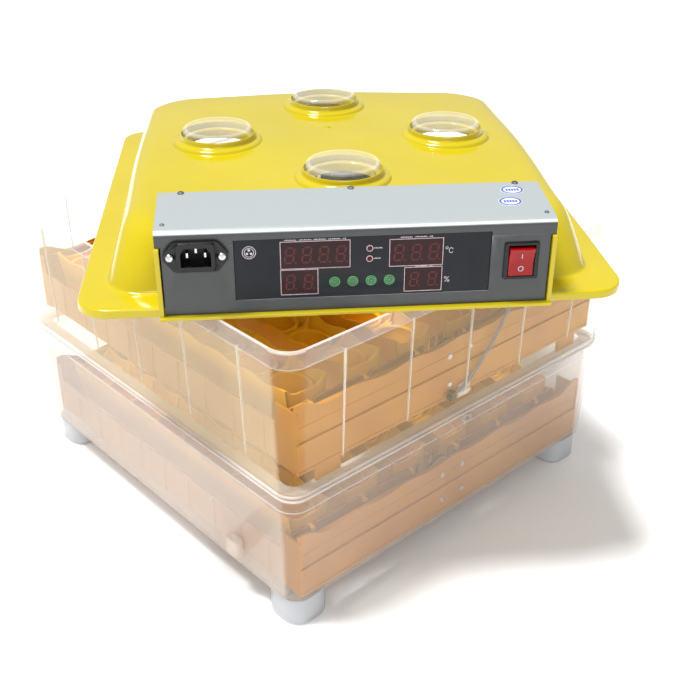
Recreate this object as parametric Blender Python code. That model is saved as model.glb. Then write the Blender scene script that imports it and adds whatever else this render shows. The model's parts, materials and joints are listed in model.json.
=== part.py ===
"""Two-layer egg incubator: stacked clear boxes with turning egg strips under a yellow lid set askew."""
import math
import bmesh
import bpy
from mathutils import Matrix, Vector

# All sizes are in millimetres and are turned into metres when an object is emitted.
MM = 0.001

# Boxes
BOX_W, BOX_D, BOX_R = 440.0, 454.2, 21.0
FOOT_H = 28.9
SEAM_Z = 147.0
RIM_Z = 291.3
WALL = 2.2
BOX_X, BOX_Y = -16.5, 16.4

# Lid
LID_TURN = math.radians(36.92)
LID_W, LID_D, LID_R = 451.9, 468.3, 28.5
SKIRT_Z = RIM_Z + 0.3
FLANGE_Z = 299.0
DOME_Z = 353.0
SHELL = 2.5
CROWN_Z = 356.6
COLLAR_Z = 360.6
WINDOW_R, WINDOW_TOP, HOLE_R = 33.3, 372.9, 29.5
WINDOWS = {"front": (0.0, -105.6), "left": (-111.5, 5.5), "right": (111.5, 5.5), "back": (0.0, 116.6)}

# Control housing, in the lid's own frame
PANEL_Y = -238.5
PANEL_HALF = 153.1
COVER_HALF = 157.4
PANEL_Z0, NOTCH_Z, BEND_Z, COVER_TOP = 294.7, 352.8, 366.4, 372.2
COVER_BACK = -171.0
SHEET = 1.2
BEND_R = 6.0
FASCIA = (-97.5, 105.5, 305.6, 356.9)
INLET_X, INLET_Z = -126.3, 345.4
SWITCH_X, SWITCH_Z = 130.3, 331.4

# Egg trays
TRAY_Z = {"lower": 31.5, "upper": 164.0}
RAIL_H, RAIL_X, RAIL_Y = 61.0, 194.0, 212.0
STRIP_X = (-160.0, -96.0, -32.0, 32.0, 96.0, 160.0)
STRIP_Y0, STRIP_Y1 = -179.5, 199.0
CUPS = 8
PIVOT_Z = 42.0
PIN_R, LINK_R, LINK_DROP = 3.0, 2.5, 22.0
GAP = 0.35
MOTOR_X, MOTOR_Z, CRANK = -2.0, 30.0, 15.6

BOX = Matrix.Translation((BOX_X, BOX_Y, 0.0))
LID = Matrix.Rotation(-LID_TURN, 4, "Z")


def clear_scene():
    for ob in list(bpy.data.objects):
        bpy.data.objects.remove(ob, do_unlink=True)


def material(name, rgb, rough=0.4, metal=0.0, clear=0.0):
    mat = bpy.data.materials.new(name)
    mat.use_nodes = True
    node = mat.node_tree.nodes["Principled BSDF"]
    node.inputs["Base Color"].default_value = (*rgb, 1.0)
    node.inputs["Roughness"].default_value = rough
    node.inputs["Metallic"].default_value = metal
    node.inputs["Transmission Weight"].default_value = clear
    return mat


# ---------------------------------------------------------------- shape helpers

def rounded(hw, hd, r, z, steps=5):
    """Corner-rounded rectangle as a ring of points, counter-clockwise."""
    pts = []
    for sx, sy, start in ((1, 1, 0), (-1, 1, 90), (-1, -1, 180), (1, -1, 270)):
        for k in range(steps + 1):
            a = math.radians(start + 90.0 * k / steps)
            pts.append((sx * (hw - r) + r * math.cos(a), sy * (hd - r) + r * math.sin(a), z))
    return pts


def rings_body(rings, loop=False):
    """Skin a list of equal rings. A loop joins the last ring to the first, otherwise both ends are capped."""
    bm = bmesh.new()
    rows = [[bm.verts.new(p) for p in ring] for ring in rings]
    n = len(rows[0])
    pairs = list(zip(rows, rows[1:])) + ([(rows[-1], rows[0])] if loop else [])
    for low, high in pairs:
        for i in range(n):
            j = (i + 1) % n
            bm.faces.new((low[i], low[j], high[j], high[i]))
    if not loop:
        bm.faces.new(list(reversed(rows[0])))
        bm.faces.new(rows[-1])
    bmesh.ops.recalc_face_normals(bm, faces=bm.faces)
    return bm


def box(x0, x1, y0, y1, z0, z1):
    bm = bmesh.new()
    size = Matrix.Diagonal((x1 - x0, y1 - y0, z1 - z0, 1.0))
    mid = Matrix.Translation(((x0 + x1) / 2, (y0 + y1) / 2, (z0 + z1) / 2))
    bmesh.ops.create_cube(bm, size=1.0, matrix=mid @ size)
    return bm


def prism(points, a, b, axis):
    """Extrude a 2-D outline from a to b. Axis x takes (y, z) points, y takes (x, z), z takes (x, y)."""
    def at(p, t):
        return {"x": (t, p[0], p[1]), "y": (p[0], t, p[1]), "z": (p[0], p[1], t)}[axis]
    return rings_body([[at(p, a) for p in points], [at(p, b) for p in points]])


def cylinder(cx, cy, cz, r, length, axis, n=16):
    """Cylinder that starts at (cx, cy, cz) and runs along +axis."""
    pts = [(r * math.cos(2 * math.pi * k / n), r * math.sin(2 * math.pi * k / n)) for k in range(n)]
    bm = prism(pts, 0.0, length, axis)
    bmesh.ops.translate(bm, verts=bm.verts, vec=(cx, cy, cz))
    return bm


def lathe(profile, n=32, axis="z", at=(0.0, 0.0, 0.0)):
    """Revolve (radius, height) points; both end points lie on the axis."""
    bm = bmesh.new()
    rows = []
    for r, h in profile:
        if r < 1e-6:
            rows.append([bm.verts.new((0, 0, h))])
        else:
            ring = [(r * math.cos(2 * math.pi * k / n), r * math.sin(2 * math.pi * k / n), h) for k in range(n)]
            rows.append([bm.verts.new(p) for p in ring])
    for low, high in zip(rows, rows[1:]):
        for i in range(n):
            j = (i + 1) % n
            if len(low) == 1:
                bm.faces.new((low[0], high[j], high[i]))
            elif len(high) == 1:
                bm.faces.new((low[i], low[j], high[0]))
            else:
                bm.faces.new((low[i], low[j], high[j], high[i]))
    if axis == "y":
        bmesh.ops.rotate(bm, verts=bm.verts, cent=(0, 0, 0), matrix=Matrix.Rotation(math.radians(90), 3, "X"))
    bmesh.ops.translate(bm, verts=bm.verts, vec=at)
    bmesh.ops.recalc_face_normals(bm, faces=bm.faces)
    return bm


def as_object(bm, name):
    mesh = bpy.data.meshes.new(name)
    bm.to_mesh(mesh)
    bm.free()
    ob = bpy.data.objects.new(name, mesh)
    bpy.context.scene.collection.objects.link(ob)
    return ob


def combine(target, tools, operation):
    """Join or cut bmesh solids one after another with the exact solver."""
    for tool in tools:
        a, b = as_object(target, "solid"), as_object(tool, "tool")
        mod = a.modifiers.new("join", "BOOLEAN")
        mod.solver, mod.operation, mod.object = "EXACT", operation, b
        graph = bpy.context.evaluated_depsgraph_get()
        mesh = bpy.data.meshes.new_from_object(a.evaluated_get(graph))
        target = bmesh.new()
        target.from_mesh(mesh)
        bpy.data.objects.remove(a, do_unlink=True)
        bpy.data.objects.remove(b, do_unlink=True)
        bpy.data.meshes.remove(mesh)
    tidy(target)
    return target


def tidy(bm):
    bmesh.ops.remove_doubles(bm, verts=bm.verts, dist=0.002)
    bmesh.ops.dissolve_limit(bm, angle_limit=math.radians(0.05), verts=bm.verts, edges=bm.edges)
    bmesh.ops.dissolve_degenerate(bm, edges=bm.edges, dist=0.001)


def fuse(first, *more):
    return combine(first, more, "UNION")


def cut(first, *more):
    return combine(first, more, "DIFFERENCE")


def emit(name, bm, frame, mat, pivot=(0.0, 0.0, 0.0)):
    """Put a solid in the scene in metres, with its origin at the given point of its own frame."""
    bmesh.ops.translate(bm, verts=bm.verts, vec=-Vector(pivot))
    turn = frame.to_3x3().to_4x4()
    bmesh.ops.transform(bm, matrix=Matrix.Scale(MM, 4) @ turn, verts=bm.verts)
    bmesh.ops.triangulate(bm, faces=bm.faces)
    ob = as_object(bm, name)
    ob.location = (frame @ Vector(pivot)) * MM
    ob.data.materials.append(mat)
    return ob


# ---------------------------------------------------------------- boxes

def box_ring(inset, z):
    return rounded(BOX_W / 2 - inset, BOX_D / 2 - inset, max(BOX_R - inset * 0.5, 6.0), z)


def make_base_box():
    """Open tub: floor, sloping wall, and a rim with a shelf for the box above."""
    outline = [(13.3, FOOT_H), (10.3, 31.9), (7.2, 133.4), (4.7, 134.6), (4.7, SEAM_Z), (6.2, SEAM_Z)]
    outline += [(6.4, 143.5), (9.4, 143.5), (12.5, 32.4), (13.6, 31.1)]
    return rings_body([box_ring(i, z) for i, z in outline])


def make_upper_box():
    """Frame with no floor: a spigot into the rim below, a tray ledge, and a thick top band."""
    outline = [(6.8, 143.9), (6.8, 147.4), (4.9, 147.4), (4.9, 150.4), (6.6, 151.6), (2.6, 274.0), (0.0, 275.6)]
    outline += [(0.0, 290.0), (1.2, RIM_Z), (2.8, RIM_Z), (4.0, 290.0), (4.8, 273.0), (8.8, 152.4), (8.9, 150.1)]
    outline += [(20.0, 150.1), (20.0, 147.8), (9.3, 147.8), (9.3, 143.9)]
    return rings_body([box_ring(i, z) for i, z in outline], loop=True)


def make_foot(cx, cy):
    """Rounded cup, open at the top where it meets the floor of the box."""
    outline = [(20.6, 0.0), (22.0, 1.4), (22.0, 28.6), (19.8, 28.6), (19.8, 2.6)]
    rings = [rounded(h, h, 16.0 - (22.0 - h), z, 4) for h, z in outline]
    rings = [[(x + cx, y + cy, z) for x, y, z in ring] for ring in rings]
    return rings_body(rings)


def make_water_filler():
    """Small open cup on the outside of the left wall."""
    outer = box(-220.2, -211.2, -150.0, -131.0, 48.0, 66.0)
    return cut(outer, box(-218.8, -212.8, -148.6, -132.4, 50.0, 67.0))


# ---------------------------------------------------------------- egg trays

def comb(z0, y0, y1, window):
    """Bearing rail with an open notch for each strip's pivot pin."""
    top, low, half = z0 + 48.0, z0 + PIVOT_Z - PIN_R - GAP, PIN_R + GAP
    pts = [(-189.0, z0 + 1.5), (189.0, z0 + 1.5), (189.0, top)]
    cuts = [(x + half, x - half, low) for x in reversed(STRIP_X)]
    if window:
        cuts.insert(3, (MOTOR_X + 22.0, MOTOR_X - 22.0, z0 + 9.0))
    for right, left, bottom in cuts:
        pts += [(right, top), (right, bottom), (left, bottom), (left, top)]
    pts.append((-189.0, top))
    return prism(pts, y0, y1, "y")


def make_tray_frame(z0, legs):
    """Two tall stepped side rails, end returns, cross ties and the two bearing rails."""
    solids = []
    for s in (-1, 1):
        solids.append(box(-RAIL_X, RAIL_X, *sorted((s * RAIL_Y, s * 209.4)), z0, z0 + 31.0))
        solids.append(box(-193.8, 193.8, *sorted((s * 210.6, s * 208.0)), z0 + 30.0, z0 + RAIL_H))
        solids.append(box(-193.6, 193.6, *sorted((s * 209.8, s * 205.4)), z0 + 58.6, z0 + 60.8))
        solids.append(box(*sorted((s * 186.5, s * 191.4)), -210.2, 210.2, z0 + 2.0, z0 + 13.0))
    for sx in (-1, 1):
        for y0, y1 in ((-211.6, -183.8), (201.9, 211.6)):
            solids.append(box(*sorted((sx * 188.0, sx * 190.4)), y0, y1, z0 + 0.6, z0 + 60.4))
    solids.append(comb(z0, -186.0, -183.6, True))
    solids.append(comb(z0, 201.5, 203.9, False))
    if legs:
        for sx in (-1, 1):
            for sy in (-1, 1):
                foot = (*sorted((sx * 150.0, sx * 178.0)), *sorted((sy * 209.0, sy * 211.6)))
                solids.append(box(*foot, 150.5, z0 + 5.0))
    return fuse(*solids)


def strip_width(z):
    """Half width of a strip at a height above its pivot."""
    return 17.0 + 7.0 * (z + 27.0) / 51.0


def make_strip():
    """Egg strip about its own pivot line: sloping side walls, low partitions, end plates and pins."""
    outer, inner = [], []
    for z in (-27.0, 24.0):
        outer.append([(-strip_width(z), z), (strip_width(z), z)])
    body = prism([outer[0][0], outer[0][1], outer[1][1], outer[1][0]], STRIP_Y0, STRIP_Y1, "y")
    pitch = (STRIP_Y1 - STRIP_Y0) / CUPS
    tools = []
    for k in range(CUPS):
        y0 = STRIP_Y0 + k * pitch + (2.4 if k == 0 else 0.9)
        y1 = STRIP_Y0 + (k + 1) * pitch - (2.4 if k == CUPS - 1 else 0.9)
        lo, hi = strip_width(-28.0) - 2.2, strip_width(5.0) - 2.2
        tools.append(prism([(-lo, -28.0), (lo, -28.0), (hi, 5.0), (-hi, 5.0)], y0, y1, "y"))
    lo, hi = strip_width(4.0) - 1.7, strip_width(25.0) - 1.7
    tools.append(prism([(-lo, 4.0), (lo, 4.0), (hi, 25.0), (-hi, 25.0)], STRIP_Y0 + 2.0, STRIP_Y1 - 2.0, "y"))
    body = cut(body, *tools)
    pins = [cylinder(0, -186.8, 0, PIN_R, 8.0, "y", 12), cylinder(0, 198.0, 0, PIN_R, 6.6, "y", 12)]
    pins.append(cylinder(0, -183.2, -LINK_DROP, LINK_R, 4.4, "y", 10))
    return fuse(body, *pins)


def make_pull_bar(z0):
    """Flat link: a downward hook over each strip's link pin and an upright yoke for the crank pin."""
    top, bottom, roof = z0 + 28.0, z0 + 17.0, z0 + PIVOT_Z - LINK_DROP + LINK_R + GAP
    half = LINK_R + GAP
    pts = [(-167.0, bottom)]
    for k, x in enumerate(STRIP_X):
        if k == 3:
            pts += [(MOTOR_X - 8.0, bottom), (MOTOR_X - 8.0, z0 + 6.0)]
            pts += [(MOTOR_X + 8.0, z0 + 6.0), (MOTOR_X + 8.0, bottom)]
        pts += [(x - half, bottom), (x - half, roof), (x + half, roof), (x + half, bottom)]
    pts += [(167.0, bottom), (167.0, top), (MOTOR_X + 8.0, top), (MOTOR_X + 8.0, z0 + 50.0)]
    pts += [(MOTOR_X + 3.4, z0 + 50.0), (MOTOR_X + 3.4, z0 + 10.5), (MOTOR_X - 3.4, z0 + 10.5)]
    pts += [(MOTOR_X - 3.4, z0 + 50.0), (MOTOR_X - 8.0, z0 + 50.0), (MOTOR_X - 8.0, top), (-167.0, top)]
    return prism(pts, -182.6, -180.4, "y")


def make_motor(z0):
    """Geared turning motor behind the front rail: round body on a square lug plate."""
    plate = box(MOTOR_X - 20, MOTOR_X + 20, -207.6, -205.0, z0 + MOTOR_Z - 20, z0 + MOTOR_Z + 20)
    body = cylinder(MOTOR_X, -206.6, z0 + MOTOR_Z, 19.0, 14.0, "y", 20)
    return fuse(plate, body)


def make_crank(z0):
    """Crank disc with its pin at the bottom of the turn."""
    disc = cylinder(MOTOR_X, -192.2, z0 + MOTOR_Z, 19.4, 2.6, "y", 20)
    pin = cylinder(MOTOR_X, -190.4, z0 + MOTOR_Z - CRANK, 2.9, 7.2, "y", 12)
    return fuse(disc, pin)


def make_cable():
    """Motor lead between the front wall and the rail, from its clip up to a socket under the lid."""
    pts = [(-15.5, 168.4), (-13, 168.5), (-7, 169.0), (-1, 170.6), (5, 173.6), (11, 178.0), (17, 183.2), (23, 188.8), (29, 194.6)]
    pts += [(35, 200.4), (40.5, 206.4), (45.5, 212.6), (50, 219), (54.5, 225.5), (59, 232), (63, 239), (66.5, 246)]
    pts += [(69.5, 253.2), (72, 260.5), (73.8, 268), (75, 275.6), (75.6, 283), (75.7, 286)]
    curve = bpy.data.curves.new("motor_cable", "CURVE")
    curve.dimensions = "3D"
    spline = curve.splines.new("POLY")
    spline.points.add(len(pts) - 1)
    for point, (x, z) in zip(spline.points, pts):
        point.co = ((x + BOX_X) * MM, (-215.0 - max(z - 232.0, 0.0) * 0.04 + BOX_Y) * MM, z * MM, 1.0)
    curve.bevel_depth = 2.0 * MM
    curve.bevel_resolution = 2
    curve.use_fill_caps = True
    ob = bpy.data.objects.new("motor_cable", curve)
    bpy.context.scene.collection.objects.link(ob)
    return ob


def make_lead_clip():
    """Clip on the rail that holds the lower end of the motor lead."""
    return cut(box(-19.0, -11.5, -218.2, -212.4, 164.6, 172.6), cylinder(-16.0, -215.0, 168.5, 2.4, 6.0, "x", 12))


def make_lead_socket():
    """Socket block inside the rim that takes the upper end of the motor lead."""
    return cut(box(69.7, 81.7, -222.0, -213.2, 279.0, 289.4), cylinder(75.7, -217.0, 278.0, 2.6, 9.0, "z", 12))


# ---------------------------------------------------------------- lid

def lid_ring(dw, dd, r, z):
    return rounded(LID_W / 2 - dw, LID_D / 2 - dd, r, z, 6)


def make_lid_shell():
    """Skirted flange and domed top in one skin, with window collars, fan posts and the control housing."""
    outline = [(0.0, 0.0, 28.5, SKIRT_Z), (0.0, 0.0, 28.5, 297.0), (0.7, 0.7, 27.8, 298.5), (2.2, 2.2, 26.5, FLANGE_Z)]
    outline += [(19.5, 24.8, 30.0, FLANGE_Z), (22.6, 27.9, 31.0, 301.6), (26.2, 31.5, 33.0, 312.0)]
    outline += [(32.6, 37.8, 36.0, 331.0), (36.6, 41.8, 38.0, 340.0), (43.2, 48.4, 38.0, 347.4)]
    outline += [(51.6, 56.8, 36.0, 351.6), (61.0, 66.2, 34.0, DOME_Z), (90.0, 95.0, 32.0, DOME_Z + 1.7)]
    outline += [(130.0, 135.0, 28.0, CROWN_Z - 0.7), (190.0, 196.0, 16.0, CROWN_Z)]
    inner = [(190.0, 196.0, 16.0, CROWN_Z - SHELL), (130.0, 135.0, 28.0, CROWN_Z - 0.7 - SHELL)]
    inner += [(90.0, 95.0, 32.0, DOME_Z + 1.7 - SHELL), (62.0, 67.2, 33.0, DOME_Z - SHELL), (53.0, 58.2, 35.0, 349.2), (45.3, 50.5, 36.5, 345.4)]
    inner += [(39.0, 44.2, 36.0, 338.6), (35.2, 40.4, 34.0, 330.0), (28.8, 34.1, 31.0, 311.4)]
    inner += [(25.2, 30.5, 29.0, 300.6), (22.4, 27.7, 28.0, 296.5), (2.5, 2.5, 26.0, 296.5)]
    inner += [(2.5, 2.5, 26.0, SKIRT_Z)]
    rings = [lid_ring(*p) for p in outline + inner]
    bm = bmesh.new()
    rows = [[bm.verts.new(p) for p in ring] for ring in rings]
    top = len(outline) - 1
    n = len(rows[0])
    for a in range(len(rows)):
        b = (a + 1) % len(rows)
        if a == top:
            continue
        for i in range(n):
            j = (i + 1) % n
            bm.faces.new((rows[a][i], rows[a][j], rows[b][j], rows[b][i]))
    bm.faces.new(rows[top])
    bm.faces.new(list(reversed(rows[top + 1])))
    bmesh.ops.recalc_face_normals(bm, faces=bm.faces)
    parts = []
    for x, y in WINDOWS.values():
        rim = [(0, 352.0), (41.0, 352.0), (41.0, 357.0), (38.6, 360.0), (35.4, COLLAR_Z), (0, COLLAR_Z)]
        parts.append(lathe(rim, 28, at=(x, y, 0)))
    for sx in (-1, 1):
        for sy in (-1, 1):
            parts.append(cylinder(sx * 35.0, 35.0 + sy * 35.0, 337.3, 3.6, 17.0, "z", 10))
        side = [(-241.0, 292.6), (-206.0, 292.6), (-205.0, 300.0), (-193.5, 332.0), (-180.0, 348.0), (-180.0, 352.4),
                (-241.0, 352.4)]
        parts.append(prism(side, *sorted((sx * 154.2, sx * 157.9)), "x"))
        upper = [(-236.8, 350.0), (-176.0, 349.0), (-172.4, 352.0), (-172.4, 370.2), (-229.0, 364.4), (-236.8, 360.0)]
        parts.append(prism(upper, *sorted((sx * 153.8, sx * 155.8)), "x"))
    parts.append(box(-155.0, 155.0, -174.6, -172.8, 350.2, 369.9))
    parts.append(box(-157.7, 157.7, -243.5, -232.4, 291.8, 294.4))
    shell = fuse(bm, *parts)
    holes = [cylinder(x, y, 345.0, HOLE_R, 22.0, "z", 28) for x, y in WINDOWS.values()]
    return cut(shell, *holes)


def make_window(x, y):
    """Clear shallow cap that stands on its collar."""
    r, top = WINDOW_R, WINDOW_TOP
    foot = COLLAR_Z + 0.3
    outer = [(r, foot), (r, top - 2.9), (r - 1.6, top - 1.1), (r - 9.0, top - 0.2), (0, top)]
    inner = [(0, top - 1.8), (r - 9.4, top - 2.0), (r - 3.0, top - 2.7), (r - 1.7, top - 4.1), (r - 1.7, foot)]
    return lathe(inner + outer, 28, at=(x, y, 0))


def cover_profile(half, low):
    """Bent sheet section: front face, rounded bend, top that rises slightly to the back."""
    slope = math.atan2(COVER_TOP - BEND_Z, COVER_BACK - PANEL_Y - BEND_R)
    cy, cz = PANEL_Y + BEND_R, BEND_Z - BEND_R
    outer, inner = [(PANEL_Y, low)], [(PANEL_Y + SHEET, low)]
    steps = 5
    for k in range(steps + 1):
        a = math.pi - (math.pi / 2 - slope) * k / steps
        outer.append((cy + BEND_R * math.cos(a), cz + BEND_R * math.sin(a)))
        inner.append((cy + (BEND_R - SHEET) * math.cos(a), cz + (BEND_R - SHEET) * math.sin(a)))
    outer.append((COVER_BACK, COVER_TOP))
    inner.append((COVER_BACK, COVER_TOP - SHEET))
    return prism(outer + inner[::-1], -half, half, "x")


def make_cover():
    """Folded sheet cover with openings for the fascia, the inlet and the switch."""
    sheet = cover_profile(COVER_HALF, NOTCH_Z)
    lower = box(-PANEL_HALF, PANEL_HALF, PANEL_Y, PANEL_Y + SHEET, PANEL_Z0, NOTCH_Z + 3.0)
    lips = []
    for s in (-1, 1):
        lip = [(-236.4, 353.4), (-172.0, 353.4), (-172.0, 371.4), (-231.0, 365.6), (-235.6, 362.4)]
        lips.append(prism(lip, *sorted((s * 156.2, s * (COVER_HALF - 0.1))), "x"))
    x0, x1, z0, z1 = FASCIA
    holes = [box(x0, x1, -240.0, -236.0, z0, z1)]
    holes.append(box(INLET_X - 14.0, INLET_X + 14.0, -240.0, -236.0, INLET_Z - 10.6, INLET_Z + 10.6))
    holes.append(box(SWITCH_X - 12.4, SWITCH_X + 12.4, -240.0, -236.0, SWITCH_Z - 14.4, SWITCH_Z + 14.4))
    return cut(fuse(sheet, lower, *lips), *holes)


BUTTONS = {"set": -19.0, "start": -4.5, "up": 10.1, "down": 24.6}
BUTTON_Z = 318.5


def make_fascia():
    x0, x1, z0, z1 = FASCIA
    plate = box(x0 + 0.3, x1 - 0.3, -237.6, -236.0, z0 + 0.3, z1 - 0.3)
    return cut(plate, *[cylinder(x, -239.0, BUTTON_Z, 4.1, 6.0, "y", 16) for x in BUTTONS.values()])


def make_inlet():
    """Three-pin appliance inlet: eared flange, rear body and an open socket."""
    ears = [(-25.2, -2.6), (-25.2, 2.6), (-15.6, 12.6), (15.6, 12.6), (25.2, 2.6), (25.2, -2.6), (15.6, -12.6),
            (-15.6, -12.6)]
    flange = prism([(INLET_X + x, INLET_Z + z) for x, z in ears], -241.6, -238.8, "y")
    body = box(INLET_X - 13.6, INLET_X + 13.6, -240.0, -219.0, INLET_Z - 10.2, INLET_Z + 10.2)
    bezel = box(INLET_X - 14.6, INLET_X + 14.6, -243.0, -240.0, INLET_Z - 11.6, INLET_Z + 11.6)
    socket = box(INLET_X - 11.8, INLET_X + 11.8, -244.0, -225.0, INLET_Z - 8.0, INLET_Z + 8.0)
    return cut(fuse(flange, body, bezel), socket)


def make_bezel():
    """Switch frame: front rim and a square tube through the sheet."""
    rim = box(SWITCH_X - 14.0, SWITCH_X + 14.0, -240.8, -238.8, SWITCH_Z - 15.8, SWITCH_Z + 15.8)
    tube = box(SWITCH_X - 12.0, SWITCH_X + 12.0, -240.0, -222.0, SWITCH_Z - 14.0, SWITCH_Z + 14.0)
    hole = box(SWITCH_X - 10.6, SWITCH_X + 10.6, -242.0, -221.0, SWITCH_Z - 13.2, SWITCH_Z + 13.2)
    return cut(fuse(rim, tube), hole)


ROCKER_Y = -234.6
ROCKER_TILT = 8.0


def make_rocker():
    """Rocker seen from the side, tipped to its off position."""
    side = [(-7.6, 12.0), (-5.6, 0.0), (-7.6, -12.0), (-1.5, -11.4), (5.0, -6.0), (5.0, 6.0), (-1.5, 11.4)]
    c, s = math.cos(math.radians(ROCKER_TILT)), math.sin(math.radians(ROCKER_TILT))
    pts = [(ROCKER_Y + c * y - s * z, SWITCH_Z + s * y + c * z) for y, z in side]
    return prism(pts, SWITCH_X - 10.2, SWITCH_X + 10.2, "x")


def make_fan_frame():
    """Square 80 mm fan housing with crossed struts and a motor seat."""
    body = cut(box(-40.0, 40.0, -5.0, 75.0, 312.0, 337.0), cylinder(0, 35.0, 310.0, 37.4, 30.0, "z", 28))
    bars = [box(-38.6, 38.6, 33.4, 36.6, 334.4, 336.6), box(-1.6, 1.6, -3.6, 73.6, 334.6, 336.4)]
    return fuse(body, *bars, cylinder(0, 35.0, 334.0, 15.0, 2.8, "z", 20))


def make_rotor():
    """Fan hub with seven pitched blades."""
    hub = cylinder(0, 35.0, 316.0, 15.0, 17.4, "z", 21)
    blades = []
    for k in range(7):
        blade = box(13.0, 35.4, -9.0, 9.0, -0.9, 0.9)
        bmesh.ops.rotate(blade, verts=blade.verts, cent=(0, 0, 0), matrix=Matrix.Rotation(0.62, 3, "X"))
        bmesh.ops.rotate(blade, verts=blade.verts, cent=(0, 0, 0), matrix=Matrix.Rotation(math.tau * k / 7, 3, "Z"))
        bmesh.ops.translate(blade, verts=blade.verts, vec=(0, 35.0, 324.6))
        blades.append(blade)
    return fuse(hub, *blades)


def make_guard():
    """Four-armed finger guard that also carries the heating ring."""
    plate = cylinder(0, 35.0, 309.6, 18.0, 2.0, "z", 20)
    return fuse(plate, box(-62.0, 62.0, 31.8, 38.2, 309.7, 311.5), box(-3.2, 3.2, -26.8, 96.8, 309.8, 311.4))


def make_heater():
    bm = bmesh.new()
    big, small, n, m = 57.5, 3.0, 32, 6
    rows = []
    for i in range(n):
        a = math.tau * i / n
        row = []
        for j in range(m):
            b = math.tau * (j + 0.5) / m
            r = big + small * math.cos(b)
            row.append(bm.verts.new((r * math.cos(a), 35.0 + r * math.sin(a), 306.0 + small * math.sin(b))))
        rows.append(row)
    for i in range(n):
        for j in range(m):
            a, b = rows[i], rows[(i + 1) % n]
            bm.faces.new((a[j], b[j], b[(j + 1) % m], a[(j + 1) % m]))
    bmesh.ops.recalc_face_normals(bm, faces=bm.faces)
    return bm


def turn_axis():
    """Vertical line about which the askew lid turns square with the box, in world millimetres."""
    c, s = math.cos(LID_TURN), math.sin(LID_TURN)
    det = (1 - c) ** 2 + s ** 2
    return ((1 - c) * BOX_X - s * BOX_Y) / det, (s * BOX_X + (1 - c) * BOX_Y) / det


def make_probe():
    x, y = turn_axis()
    profile = [(0, 262.0), (3.6, 262.8), (4.6, 265.0), (4.6, 296.0), (1.6, 299.0), (1.6, 350.1), (0, 350.1)]
    return lathe(profile, 14, at=(x, y, 0)), (x, y, 280.0)


DISPLAYS = {"display_timer": (-60.8, -7.3, 331.5, 353.6), "display_days": (-61.0, -32.7, 309.2, 329.7),
            "display_temperature": (24.9, 66.4, 330.5, 352.6), "display_humidity": (37.2, 66.3, 308.2, 328.1)}


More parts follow.
